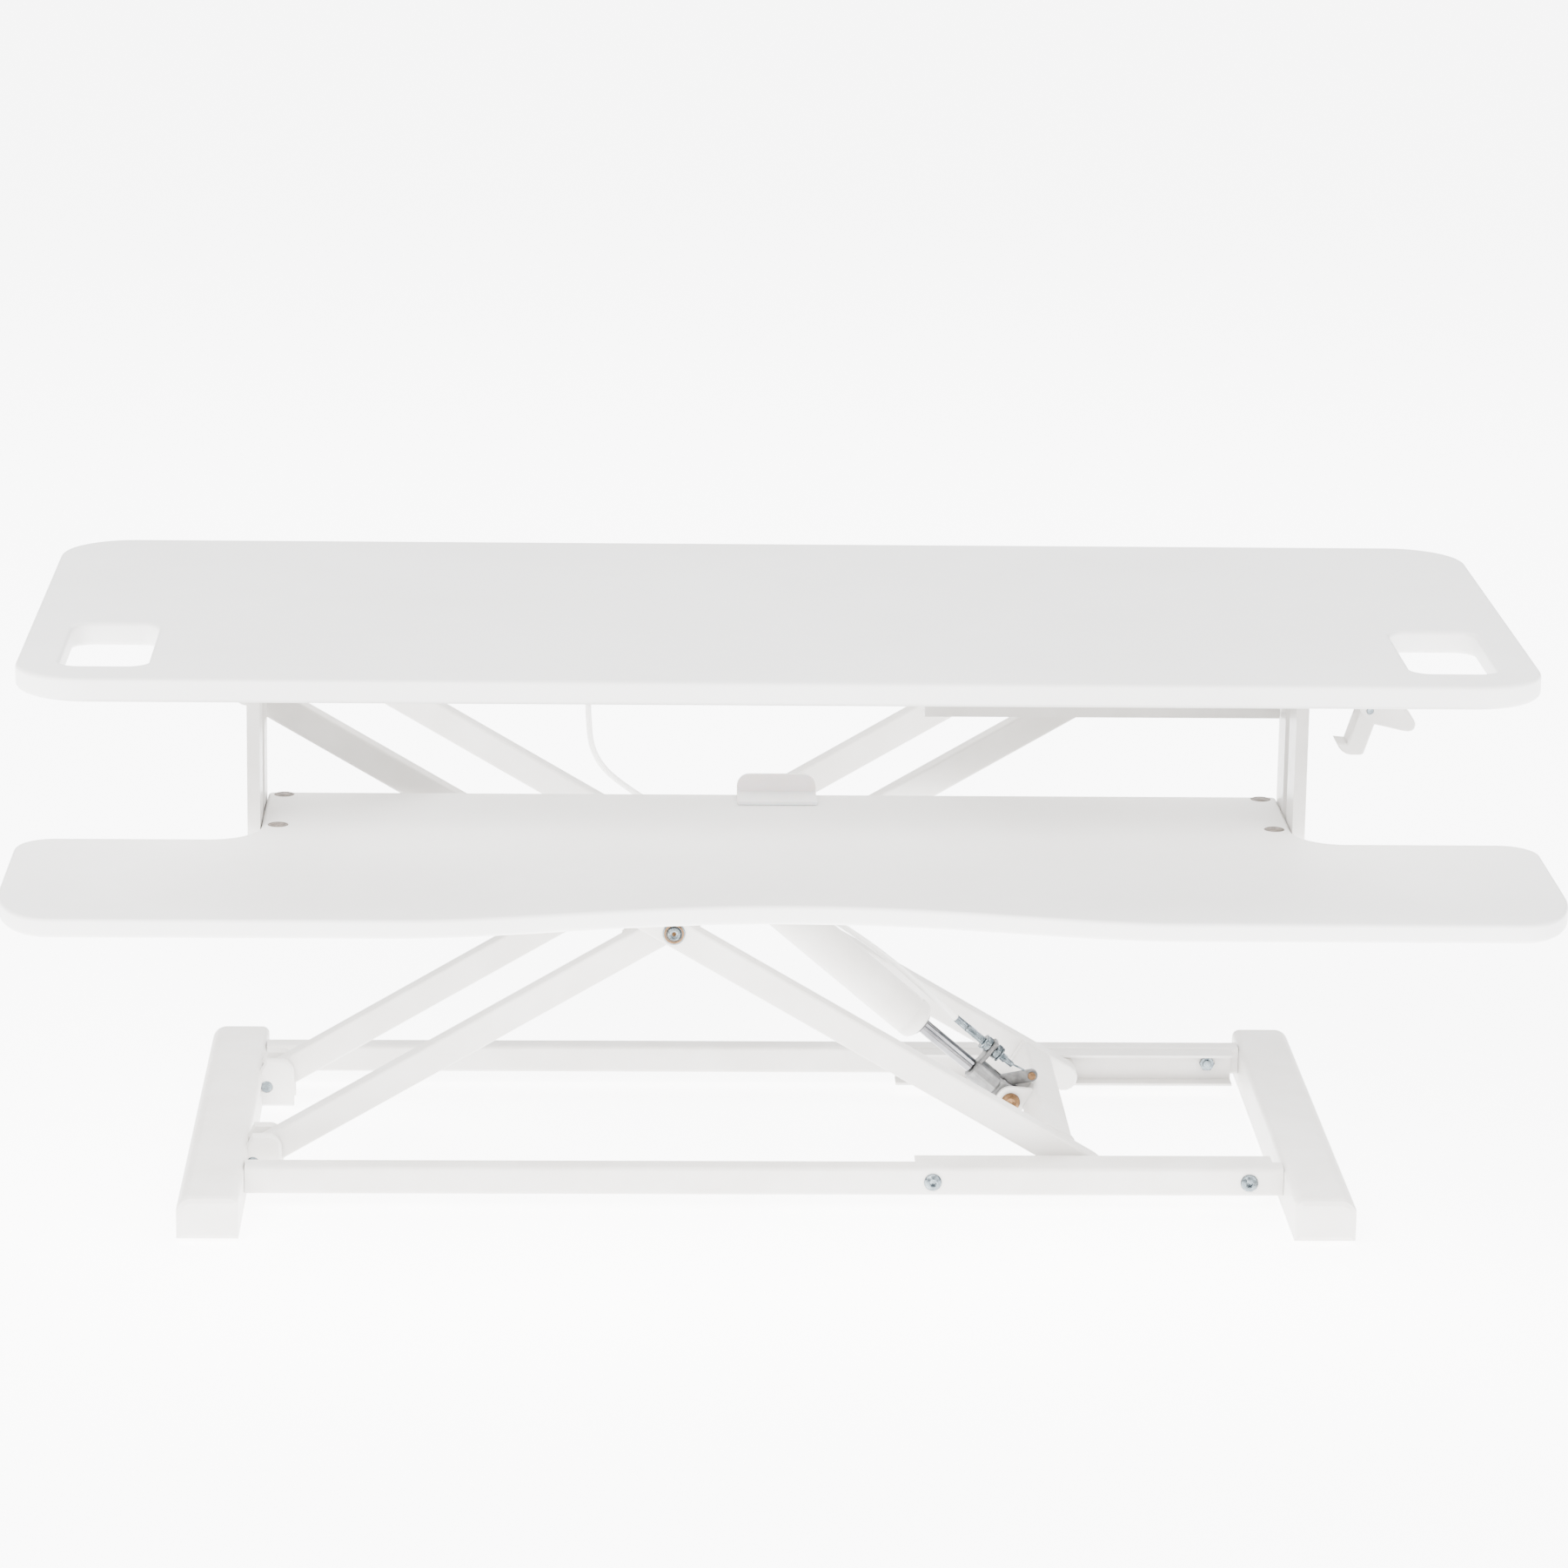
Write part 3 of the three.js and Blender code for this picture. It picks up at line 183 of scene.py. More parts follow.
# Light and dark colour, roughness from and to, scale of the clouds and of the grain, relief in mm.
COATED = {
    "board": ((0.76, 0.755, 0.745), (0.73, 0.722, 0.71), (0.42, 0.52), 9, 1500, 0.012),
    "paint": ((0.62, 0.605, 0.585), (0.575, 0.555, 0.53), (0.3, 0.42), 30, 900, 0.03),
    "moulded": ((0.65, 0.635, 0.615), (0.6, 0.58, 0.555), (0.42, 0.55), 25, 1900, 0.02),
    "nylon": ((0.58, 0.555, 0.52), (0.5, 0.475, 0.44), (0.35, 0.5), 60, 1500, 0.02),
    "cable_sheath": ((0.8, 0.79, 0.77), (0.76, 0.75, 0.73), (0.32, 0.42), 40, 1200, 0.01),
    "stop_plastic": ((0.85, 0.85, 0.845), (0.82, 0.82, 0.815), (0.3, 0.4), 40, 1500, 0.01),
    "rubber": ((0.055, 0.054, 0.052), (0.035, 0.034, 0.033), (0.75, 0.9), 80, 1600, 0.06),
}
TRANSLUCENT = {"stop_plastic": {"Subsurface_Weight": 0.25, "Subsurface_Scale": 0.004}}
METALS = {
    "chrome": ((0.24, 0.24, 0.25), (0.12, 0.12, 0.13), (0.1, 0.24), 40, 2500, 0.003),
    "cast_alloy": ((0.2, 0.2, 0.2), (0.1, 0.1, 0.1), (0.35, 0.5), 120, 1300, 0.05),
    "zinc": ((0.2, 0.235, 0.255), (0.07, 0.085, 0.095), (0.2, 0.38), 220, 2200, 0.01),
    "brass_tint": ((0.24, 0.14, 0.07), (0.09, 0.05, 0.025), (0.25, 0.45), 260, 2000, 0.02),
}


def make_materials():
    made = {}
    for name, look in COATED.items():
        made[name] = coated(name, *look, **TRANSLUCENT.get(name, {}))
    made["cap"] = speckled_cap()
    for name, look in METALS.items():
        made[name] = metal(name, *look)
    return {name: finish.material for name, finish in made.items()}


MATERIALS = make_materials()


def dress_cad():
    """Every CAD node gets its slot's finish."""
    for name, thing in frame["nodes"].items():
        finish = MATERIALS[SLOT_OF[name]]
        if not thing.data.materials:
            thing.data.materials.append(finish)
        for slot in thing.material_slots:
            slot.material = finish


dress_cad()


# ---------------------------------------------------------------- making pieces
def linked(name, data):
    """A new object of the scene."""
    thing = bpy.data.objects.new(name, data)
    bpy.context.scene.collection.objects.link(thing)
    return thing


def piece(
    name, bm, slot, body=None, replaces=(), finish=None, sharp=40, matrix=None, even=False
):
    """A mesh object from bm, with its finish, riding on a body; even keeps flat faces flat."""
    if matrix is not None:
        bm.transform(matrix)
    bmesh.ops.recalc_face_normals(bm, faces=bm.faces)
    for face in bm.faces:
        face.smooth = True
    for edge in bm.edges:
        if len(edge.link_faces) == 2 and edge.calc_face_angle(0.0) > math.radians(sharp):
            edge.smooth = False
    data = bpy.data.meshes.new(name)
    bm.to_mesh(data)
    bm.free()
    data.materials.append(MATERIALS[finish or slot])
    thing = linked(name, data)
    if even:
        weighted = thing.modifiers.new("even", "WEIGHTED_NORMAL")
        weighted.keep_sharp = True
        weighted.weight = 80
    if body:
        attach(thing, body)
    if replaces:
        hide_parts(*replaces)
    return thing


def evaluated_copy(thing):
    """A mesh of the object with its modifiers or bevels applied."""
    bpy.context.view_layer.update()
    settled = thing.evaluated_get(bpy.context.evaluated_depsgraph_get())
    return bpy.data.meshes.new_from_object(settled)


def taken_in(shape):
    """A bmesh from a mesh, which is then removed."""
    bm = bmesh.new()
    bm.from_mesh(shape)
    bpy.data.meshes.remove(shape)
    return bm


def loft(bm, rings, closed=False):
    """Joins closed rings of points, one after another, and closes both ends or the loop."""
    rows = [[bm.verts.new(p) for p in ring] for ring in rings]
    count = len(rows[0])
    for a, b in zip(rows, rows[1:] + rows[:1] if closed else rows[1:]):
        for i in range(count):
            j = (i + 1) % count
            bm.faces.new((a[i], a[j], b[j], b[i]))
    if not closed:
        bm.faces.new(rows[0][::-1])
        bm.faces.new(rows[-1])


def ring(radius_at, height, segments, matrix):
    """Points about Z at a height, in mm; radius_at gives the radius for a share of the turn."""
    points = []
    for i in range(segments):
        share = i / segments
        angle = share * 2 * math.pi
        r = radius_at(share)
        point = Vector((r * math.cos(angle), r * math.sin(angle), height)) * MM
        points.append(matrix @ point if matrix else point)
    return points


def hex_radius(radius, flats, share):
    """The radius of a round section cut by a hexagon of that width across its flats."""
    angle = share * 2 * math.pi
    return min(radius, flats / 2 / math.cos(angle % HEX - HEX / 2))


def turned(profile, segments=48, bm=None, matrix=None):
    """A turned body about Z from points in mm: radius, height and a hexagon's width, if any."""
    bm = bm or bmesh.new()
    rings = []
    for radius, height, *flats in profile:

        def radius_at(share):
            return hex_radius(radius, flats[0], share) if flats else radius

        rings.append(ring(radius_at, height, segments, matrix))
    loft(bm, rings)
    return bm


def threaded(radius, depth, pitch, low, high, matrix):
    """A screw thread about Z, in mm: rings whose radius follows the helix and fades at the ends."""
    rings_per_turn, fade, segments = 6, 4, 28
    steps = int((high - low) / pitch * rings_per_turn)
    rings = []
    for k in range(steps + 1):
        height = low + (high - low) * k / steps
        runout = max(0.0, 1 - min(k, steps - k) / fade) * depth

        def radius_at(share):
            phase = (height / pitch - share) % 1
            return radius - depth * (abs(phase - 0.5) * 2) - runout

        rings.append(ring(radius_at, height, segments, matrix))
    bm = bmesh.new()
    loft(bm, rings)
    return bm


def arc(x, y, r, a0, a1, steps=12):
    """Points on an arc, from angle a0 to a1 in quarter turns."""
    turn = math.pi / 2
    angles = [(a0 + (a1 - a0) * i / steps) * turn for i in range(steps + 1)]
    return [(x + r * math.cos(a), y + r * math.sin(a)) for a in angles]


def rounded(x0, x1, y0, y1, r, steps=12):
    """The outline of a rectangle with round corners, anticlockwise."""
    return [
        *arc(x1 - r, y0 + r, r, -1, 0, steps),
        *arc(x1 - r, y1 - r, r, 0, 1, steps),
        *arc(x0 + r, y1 - r, r, 1, 2, steps),
        *arc(x0 + r, y0 + r, r, 2, 3, steps),
    ]


def bezier(p0, p1, p2, p3, steps):
    """Points on a cubic curve, without its first."""
    points = []
    for i in range(1, steps + 1):
        t = i / steps
        u = 1 - t
        share = (u**3, 3 * u * u * t, 3 * u * t * t, t**3)
        weighted = list(zip(share, (p0, p1, p2, p3)))
        points.append(tuple(sum(s * p[k] for s, p in weighted) for k in (0, 1)))
    return points


def clean_loop(points, least=0.3 * MM):
    """An outline without points that nearly coincide."""
    kept = []
    for x, y in points:
        if not kept or math.hypot(x - kept[-1][0], y - kept[-1][1]) > least:
            kept.append((x, y))
    if math.hypot(kept[0][0] - kept[-1][0], kept[0][1] - kept[-1][1]) < least:
        kept.pop()
    return kept


def slab(name, outlines, low, high, edge, steps=3):
    """A plate in XY between two heights with rounded edges: its rim's outline, then its holes'."""
    curve = bpy.data.curves.new(name, "CURVE")
    curve.dimensions = "2D"
    curve.fill_mode = "BOTH"
    curve.extrude = (high - low) / 2 - edge
    curve.bevel_depth = edge
    curve.bevel_resolution = steps
    curve.offset = -edge
    for outline in outlines:
        spline = curve.splines.new("POLY")
        spline.points.add(len(outline) - 1)
        spline.use_cyclic_u = True
        for point, (x, y) in zip(spline.points, outline):
            point.co = (x, y, 0, 1)
    holder = linked(name, curve)
    shape = evaluated_copy(holder)
    bpy.data.objects.remove(holder)
    bm = taken_in(shape)
    bmesh.ops.remove_doubles(bm, verts=bm.verts, dist=0.02 * MM)
    bmesh.ops.translate(bm, verts=bm.verts, vec=(0, 0, (low + high) / 2))
    return bm


def bored(bm, cutters):
    """bm with the closed bodies in cutters taken out of it."""
    parts = []
    for label, source in (("body", bm), ("tool", cutters)):
        data = bpy.data.meshes.new(label)
        bmesh.ops.recalc_face_normals(source, faces=source.faces)
        source.to_mesh(data)
        source.free()
        parts.append(linked(label, data))
    body, tool = parts
    difference = body.modifiers.new("bore", "BOOLEAN")
    difference.operation = "DIFFERENCE"
    difference.solver = "EXACT"
    difference.object = tool
    made = taken_in(evaluated_copy(body))
    for thing in parts:
        data = thing.data
        bpy.data.objects.remove(thing)
        bpy.data.meshes.remove(data)
    return made


def swept(path, radius, sides=12, closed=False, ripple=0.0):
    """A tube along a path; ripple makes its radius swell and shrink, as on a weld bead."""
    ripple_step = 2.4  # radians from one ring to the next
    count = len(path)
    side = None
    rings = []
    for i, point in enumerate(path):
        ahead = path[(i + 1) % count] if closed else path[min(i + 1, count - 1)]
        behind = path[i - 1] if closed else path[max(i - 1, 0)]
        along = (ahead - behind).normalized()
        if side is None:
            side = along.orthogonal().normalized()
        side = (side - along * side.dot(along)).normalized()
        other = along.cross(side)
        r = radius * (1 + ripple * math.sin(i * ripple_step))
        turns = [k / sides * 2 * math.pi for k in range(sides)]
        rings.append([point + (side * math.cos(a) + other * math.sin(a)) * r for a in turns])
    bm = bmesh.new()
    loft(bm, rings, closed)
    return bm


def catmull(points, per_span):
    """A smooth centripetal curve through the points."""
    ends = [points[0] * 2 - points[1], *points, points[-1] * 2 - points[-2]]
    path = []
    for a, b, c, d in zip(ends, ends[1:], ends[2:], ends[3:]):
        k0, k1, k2 = ((q - p).length ** 0.5 for p, q in ((a, b), (b, c), (c, d)))
        t1 = ((b - a) / k0 - (c - a) / (k0 + k1) + (c - b) / k1) * k1
        t2 = ((c - b) / k1 - (d - b) / (k1 + k2) + (d - c) / k2) * k1
        for i in range(per_span):
            t = i / per_span
            cubic = (2 * (b - c) + t1 + t2) * t**3 + (3 * (c - b) - 2 * t1 - t2) * t * t
            path.append(cubic + t1 * t + b)
    path.append(points[-1])
    return path


Z_TO_X = Matrix.Rotation(math.pi / 2, 4, "Y")
DOWNWARD = Matrix.Rotation(math.pi, 4, "X")


def facing(side):
    """Turns Z to the front (-1) or to the rear (1)."""
    return Matrix.Rotation(-side * math.pi / 2, 4, "X")


def at(point, turn=None):
    """A place in the frame, with a turn before it if one is given."""
    place = Matrix.Translation(Vector(point))
    return place @ turn if turn else place


# ---------------------------------------------------------------- desktop and tray
EDGE = 3 * MM
TRAY_EDGE = EDGE - 0.5 * MM
DESK_CORNER = 48 * MM
SLOT_INSET = 27 * MM
SLOT_WIDE = 55 * MM
SLOT_LONG = 114 * MM
SLOT_SETBACK = 36 * MM
SLOT_CORNER = 13 * MM

WING_DEEP = 180 * MM  # the tray's wings, front to rear
WING_CORNER = 24 * MM
NECK_HALF = 325.5 * MM  # half the width of the tray behind its wings
NECK_FILLET = 31 * MM
NECK_CORNER = 3 * MM
SCOOP_DEEP = 34 * MM  # the hollow of the tray's front edge
SCOOP_HALF = 235 * MM
SHOULDER_WIDE = 36 * MM  # the tray's front corners, which are soft curves
SHOULDER_DEEP = 64 * MM

CAP_HOLE = ((6.7, -5), (6.7, 20))
CAP = (
    *((0.1, -11.4), (6.4, -11.4), (6.4, -0.2), (6.1, 0.1), (5.6, 0.25)),
    *((4.9, 0.28), (4.7, 0.12), (4.4, 0.12), (4.2, 0.26), (0.1, 0.3)),
)


def make_desktop():
    low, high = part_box("desktop")
    outlines = [rounded(low.x, high.x, low.y, high.y, DESK_CORNER, 20)]
    y0 = low.y + SLOT_SETBACK
    for x0 in (low.x + SLOT_INSET, high.x - SLOT_INSET - SLOT_WIDE):
        outlines.append(rounded(x0, x0 + SLOT_WIDE, y0, y0 + SLOT_LONG, SLOT_CORNER, 10))
    bm = slab("desktop_slab", outlines, low.z, high.z, EDGE)
    piece("desktop_board", bm, "board", "top", ["desktop"], sharp=60, even=True)


def tray_outline():
    """The tray's rim: a scooped front, soft front corners, wings and a narrower neck behind."""
    low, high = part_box("keyboard_tray")
    half, front, rear = high.x, low.y, high.y
    wing = front + WING_DEEP
    scoop = front + SCOOP_DEEP
    flat = half - SHOULDER_WIDE
    turn = front + SHOULDER_DEEP
    dip = ((0, scoop), (SCOOP_HALF * 0.42, scoop), (SCOOP_HALF * 0.72, front), (SCOOP_HALF, front))
    shoulder = ((flat, front), (half - 12 * MM, front), (half, turn - 28 * MM), (half, turn))
    right = [dip[0], *bezier(*dip, 28)]
    right += [shoulder[0], *bezier(*shoulder, 20)]
    right += arc(half - WING_CORNER, wing - WING_CORNER, WING_CORNER, 0, 1, 12)
    right += arc(NECK_HALF + NECK_FILLET, wing + NECK_FILLET, NECK_FILLET, 3, 2, 14)
    right += arc(NECK_HALF - NECK_CORNER, rear - NECK_CORNER, NECK_CORNER, 0, 1, 5)
    left = [(-x, y) for x, y in right[1:]]
    return clean_loop(right + left[::-1])


def make_tray():
    low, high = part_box("keyboard_tray")
    cutters = bmesh.new()
    for end in ENDS:
        for name, _ in SIDES:
            node = f"tray_screw_cap_{end}_{name}"
            c = middle(node)
            turned(CAP_HOLE, 40, cutters, at((c.x, c.y, low.z)))
            place = at((c.x, c.y, high.z))
            piece(f"screw_cap_{end}_{name}", turned(CAP), "cap", "top", [node], matrix=place)
    bm = bored(slab("tray_slab", [tray_outline()], low.z, high.z, TRAY_EDGE), cutters)
    piece("tray_board", bm, "board", "top", ["keyboard_tray"], sharp=60, even=True)


make_desktop()
make_tray()

# ---------------------------------------------------------------- screws and bolts
RAIL_FACE = {
    "front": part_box("base_rail_front")[0].y,
    "rear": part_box("base_rail_rear")[1].y,
}
NUT_SEAT = 18.2 * MM  # from the rail's outer face to the nut inside the channel
RAIL_NUT = (
    *((0.5, 0), (4.9, 0, 9.4), (5.4, 0.5, 9.4), (5.4, 3.1, 9.4), (4.7, 3.5, 9.4)),
    *((3.1, 3.5), (2.8, 3.2), (2.8, 4.4), (0.3, 4.6)),
)
BOLT_HEAD = 3.6
BOLT_SHANK = ((3.9, 0.1), (3.9, 35), (0.2, 35.2))
BOLT_NUT = (
    *((4.2, 1.2), (6.3, 1.4, 12.6), (7.2, 2.1, 12.6)),
    *((7.2, 6.4, 12.6), (6.4, 6.9, 12.6), (4, 6.9)),
)
BOLT_RING = ((5.3, 1.15), (5.3, 1.55), (5.8, 1.8), (6.4, 1.55), (6.6, 1.15))


def button_screw(radius, tall, socket, shank=0.0, flange=0.0):
    """A domed screw head with a hexagon socket; z is 0 at its seat."""
    rise = [
        (radius * math.cos(a), 0.6 + (tall - 0.6) * math.sin(a)) for a in (0.1, 0.35, 0.65, 0.95)
    ]
    profile = [(0.05, -shank), (3, -shank), (3, 0)] if shank else [(0.05, 0)]
    if flange:
        profile += [(flange, 0), (flange, 0.9), (flange - 0.5, 1.2), (radius + 0.2, 1.3)]
    else:
        profile += [(radius, 0)]
    profile += [(radius, 0.4), *rise]
    rim = socket / 2 * 1.35
    profile += [(rim, tall), (rim * 0.97, tall - 0.25)]
    profile += [(9, tall - 0.4, socket), (9, tall - 2.2, socket), (0.6, tall - 2.7)]
    return profile


def make_rail_screw(name, side, end):
    """A screw that holds a channel to its rail; the right ones show their nuts."""
    node = f"channel_screw_{name}_{end}"
    c = middle(node)
    face = RAIL_FACE[name]
    bm = turned(button_screw(5.8, 2.9, 3.9, 14), 60, matrix=at((c.x, face, c.z), facing(side)))
    if end == "right":
        turned(RAIL_NUT, 48, bm, at((c.x, face - side * NUT_SEAT, c.z), facing(-side)))
    piece(f"rail_screw_{name}_{end}", bm, "zinc", "base", [node], sharp=32)


def make_centre_bolt(name, side):
    """A flanged bolt through both arms, with its lock nut and a tinted ring round its head."""
    node = f"centre_bolt_{name}"
    low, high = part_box(node)
    c = middle(node)
    outer, inner = (low.y, high.y) if side < 0 else (high.y, low.y)
    seat = (c.x, outer - side * BOLT_HEAD * MM, c.z)
    head = at(seat, facing(side))
    bm = turned(button_screw(4.9, BOLT_HEAD, 4.6, 0, 7.4), 60, matrix=head)
    turned(BOLT_SHANK, 32, bm, at(seat, facing(-side)))
    turned(BOLT_NUT, 48, bm, at((c.x, inner, c.z), facing(side)))
    piece(f"pivot_bolt_{name}", bm, "zinc", "inner_arms", [node], sharp=32)
    tint = turned(BOLT_RING, 48, matrix=head)
    piece(f"pivot_bolt_ring_{name}", tint, "zinc", "inner_arms", finish="brass_tint")


for side_name, side_sign in SIDES:
    for end_name in ENDS:
        make_rail_screw(side_name, side_sign, end_name)
    make_centre_bolt(side_name, side_sign)

# ---------------------------------------------------------------- gas spring
ALONG = Vector(JOINTS["spring_stroke"]["axis"]).normalized()
SPRING = Matrix((-ALONG, (0, 1, 0), (ALONG.z, 0, -ALONG.x))).transposed().to_4x4()
SPRING.translation = pivot("spring_swing")
SPRING_TURN = SPRING @ Z_TO_X

# Distances in mm along the spring from its lower pin, towards the cylinder.
HEAD_END = 34.0
ROD_SHOWN = 45.0
CYLINDER_END = HEAD_END + GAP + ROD_SHOWN
CYLINDER_R = 14.0
CABLE_OFF = 18.2  # the cable's line beside the rod
EYE = 275.8
CYLINDER_TOP = EYE - 19
TAB_THICK = 3.4
THREAD_END = 53.5
STOP_END = 55.3
LEVER_TIP = (CABLE_OFF + 3.2) * MM
PIN_REACH = 10.3


def make_cylinder():
    a, b, r = -CYLINDER_END, -CYLINDER_TOP, CYLINDER_R
    profile = [
        (0.1, b),
        (r - 3, b),
        (r - 1.6, b + 0.5),
        (r - 0.5, b + 1.5),
        (r, b + 3.2),
        (r, a - 12),
        (r - 0.45, a - 11.4),
        (r - 0.45, a - 10.2),
        (r, a - 9.6),
        (r, a - 6),
        (r - 0.35, a - 4.3),
        (r - 1.4, a - 2.6),
        (r - 3.2, a - 1.1),
        (r - 5, a - 0.35),
        (r - 6.5, a),
        (5.35, a),
        (5.35, a - 30),
        (0.1, a - 30.2),
    ]
    bm = turned(profile, 64, matrix=SPRING_TURN)
    piece("gas_cylinder_tube", bm, "paint", "spring_cylinder", ["gas_cylinder"], sharp=45)


def make_eye():
    """The cylinder's flat eye, whose slot leaves the upper pin room across the spring."""
    end = (-EYE - 9.6) * MM
    top = -CYLINDER_TOP * MM + 4 * MM
    plate = rounded(end, top, (1.4 - CYLINDER_R) * MM, 10 * MM, 5 * MM, 8)
    hole = rounded((-EYE - 6.2) * MM, (6.2 - EYE) * MM, -13 * MM, 4.8 * MM, 4 * MM, 8)
    tang = slab("tang_slab", [plate, hole], -6 * MM, 6 * MM, 1 * MM, 2)
    upright = SPRING @ Matrix.Rotation(math.pi / 2, 4, "X")
    piece("gas_cylinder_eye", tang, "paint", "spring_cylinder", matrix=upright, sharp=60, even=True)


def make_rod():
    """The polished rod, and the rubber seal where it enters the cylinder."""
    a = -CYLINDER_END
    seal = ((5.4, a - 0.4), (8.4, a - 0.4), (8.2, a + 0.35), (7, a + 0.9), (5.5, a + 0.7))
    piece("rod_seal", turned(seal, matrix=SPRING_TURN), "rubber", "spring_cylinder")
    far, near = a - 60, -HEAD_END
    profile = ((0.1, far), (5, far), (5, near - 1), (4.4, near - GAP), (0.1, near - GAP))
    rod = turned(profile, 64, matrix=SPRING_TURN)
    piece("polished_rod", rod, "chrome", "spring_rod", ["piston_rod"])


def lock_nut(a, b):
    """A hexagon nut with turned-down corners, between two heights."""
    bevel = 0.7
    return (
        *((2.7, a), (4.6, a, 9.8), (5.6, a + bevel, 9.8)),
        *((5.6, b - bevel, 9.8), (4.6, b, 9.8), (2.7, b)),
    )


def make_cable_stop():
    """The threaded stop, its sleeve and neck, and two lock nuts with washers about the tab."""
    tab_far = -HEAD_END
    tab_near = tab_far + TAB_THICK
    place = SPRING @ Matrix.Translation((0, 0, CABLE_OFF * MM)) @ Z_TO_X
    bm = threaded(3, 0.42, 0.9, -THREAD_END, tab_near + 11, place)
    turned([(0.9, -55), (2.5, -55), (2.9, -54.6), (2.9, -53), (0.9, -53)], 32, bm, place)
    neck = ((0.9, 10.5), (2.1, 10.5), (2.1, 16.6), (1.7, 17), (0.9, 17))
    turned([(r, tab_near + z) for r, z in neck], 32, bm, place)
    piece("cable_stop_thread", bm, "zinc", "spring_rod", ["cable_adjuster"], sharp=50)
    nuts = bmesh.new()
    turned(lock_nut(tab_near + 0.3, tab_near + 4.8), 48, nuts, place)
    turned(lock_nut(tab_far - 4.8, tab_far - 0.3), 48, nuts, place)
    for a, b in ((tab_near + 5, tab_near + 5.9), (tab_far - 5.9, tab_far - 5)):
        turned([(3.1, a), (5.4, a), (5.5, a + 0.3), (5.4, b), (3.1, b)], 40, nuts, place)
    piece("cable_stop_nuts", nuts, "zinc", "spring_rod", sharp=32)


def make_release_wire():
    """The bare wire from the stop to the release lever, and the barrel on its end."""
    start = SPRING @ Vector(((-HEAD_END + TAB_THICK + 15) * MM, 0, CABLE_OFF * MM))
    end = SPRING @ Vector((0.6 * MM, 0, LEVER_TIP))
    bend = start.lerp(end, 0.5) + Vector((0, 0, 0.5 * MM))
    wire = swept(catmull([start, bend, end], 10), 0.75 * MM, 10)
    piece("release_wire", wire, "zinc", "spring_rod")
    place = SPRING @ Matrix.Translation((1 * MM, 0, LEVER_TIP)) @ facing(1)
    barrel = ((0.2, -3.4), (2.3, -3.4), (2.7, -3), (2.7, 3), (2.3, 3.4), (0.2, 3.4))
    bm = turned(barrel, 32, matrix=place)
    piece("wire_barrel", bm, "zinc", "spring_release", finish="brass_tint")


def make_spring_pin(name, spot, body, node):
    """A turned pin with a riveted end and a domed head that has a hexagon socket."""
    reach = PIN_REACH
    profile = (
        *((0.1, -reach - 2.2), (4.6, -reach - 2.2), (5.9, -reach - 1.4), (6.4, -reach)),
        *((4, -reach), (4, reach), (6.4, reach), (6.4, reach + 1.3)),
        *((5.8, reach + 2.3), (4.4, reach + 2.8), (3.2, reach + 2.9), (3, reach + 2.4)),
        *((9, reach + 2.3, 4.2), (9, reach + 0.6, 4.2), (0.3, reach + 0.3)),
    )
    bm = turned(profile, 48, matrix=at((spot.x, middle(node).y, spot.z), facing(-1)))
    piece(name, bm, "zinc", body, [node], sharp=32, finish="brass_tint")


make_cylinder()
make_eye()
make_rod()
make_cable_stop()
make_release_wire()
make_spring_pin(
    "spring_pin_lower_detail", pivot("spring_swing"), "outer_arms", "spring_lower_pin"
)
make_spring_pin(
    "spring_pin_upper_detail", middle("spring_upper_pin"), "inner_arms", "spring_upper_pin"
)


# ---------------------------------------------------------------- release cable
CABLE_R = 2 * MM
CABLE_DROP = 4.6 * MM  # from the desktop's underside to the cable's centre

# The cable's points in mm between the lever and the spring: x, y and height from its first run.
CABLE_SPOTS = (
    (300, -92, 0),
    (200, -90, 0),
    (100, -90, 0),
    (0, -90, 0),
    (-62, -84, 0),
    (-98, -62, -4),
    (-113, -35, -17),
    (-117, -10, -22),
    (-119, 20, -22),
    (-120, 58, -25),
    (-120, 86, -42),
    (-119.5, 99, -66),
    (-117, 107, -87),
    (-109, 116, -104),
    (-92, 126, -121),
    (-60, 137, -144),
    (-20, 141, -172),
    (30, 141, -205),
    (78, 134, -236),
)


def cable_route():
    """The outer cable's route: under the desktop, down behind the tray and along the spring."""
    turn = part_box("desktop")[0].z - CABLE_DROP
    lever = pivot("squeeze")
    stop = SPRING @ Vector((-STOP_END * MM, 0, CABLE_OFF * MM))
    points = [Vector((lever.x - 16.6 * MM, lever.y, turn))]
    points += [Vector((x * MM, y * MM, turn + z * MM)) for x, y, z in CABLE_SPOTS]
    near = stop + ALONG * 26 * MM
    return [*points, near + Vector((0, 5 * MM, 0)), stop + ALONG * 9 * MM, stop]


def make_cable():
    points = cable_route()
    bm = swept(catmull(points, 9), CABLE_R, 16)
    cable = piece("release_cable_sheath", bm, "cable_sheath", replaces=["release_cable"])
    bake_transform(cable)
    first, last = points[0], points[-1]
    ferrule = swept([last + ALONG * 9 * MM, last + ALONG * 0.2 * MM], 2.7 * MM, 24)
    piece("cable_ferrule_spring", ferrule, "zinc", "spring_rod", sharp=50)
    sleeve_ends = (Vector((-9 * MM, 0.3 * MM, 0)), Vector((0.2 * MM, 0, 0)))
    sleeve = swept([first + end for end in sleeve_ends], 2.6 * MM, 24)
    piece("cable_ferrule_lever", sleeve, "zinc", "top", sharp=50)
    lever = pivot("squeeze")
    inner = swept([first, Vector((lever.x - 4 * MM, lever.y, first.z))], 0.7 * MM, 10)
    piece("lever_wire", inner, "zinc", "top")


make_cable()

# ---------------------------------------------------------------- welds and small fixings
ARM_SPAN = (pivot("cross_fold") - pivot("lift")).length
REST_ANGLE = math.asin((pivot("top_level").z - pivot("lift").z) / (2 * ARM_SPAN))
TUBE_HALF_HIGH = 9.2
BEAD_R = 1.5 * MM

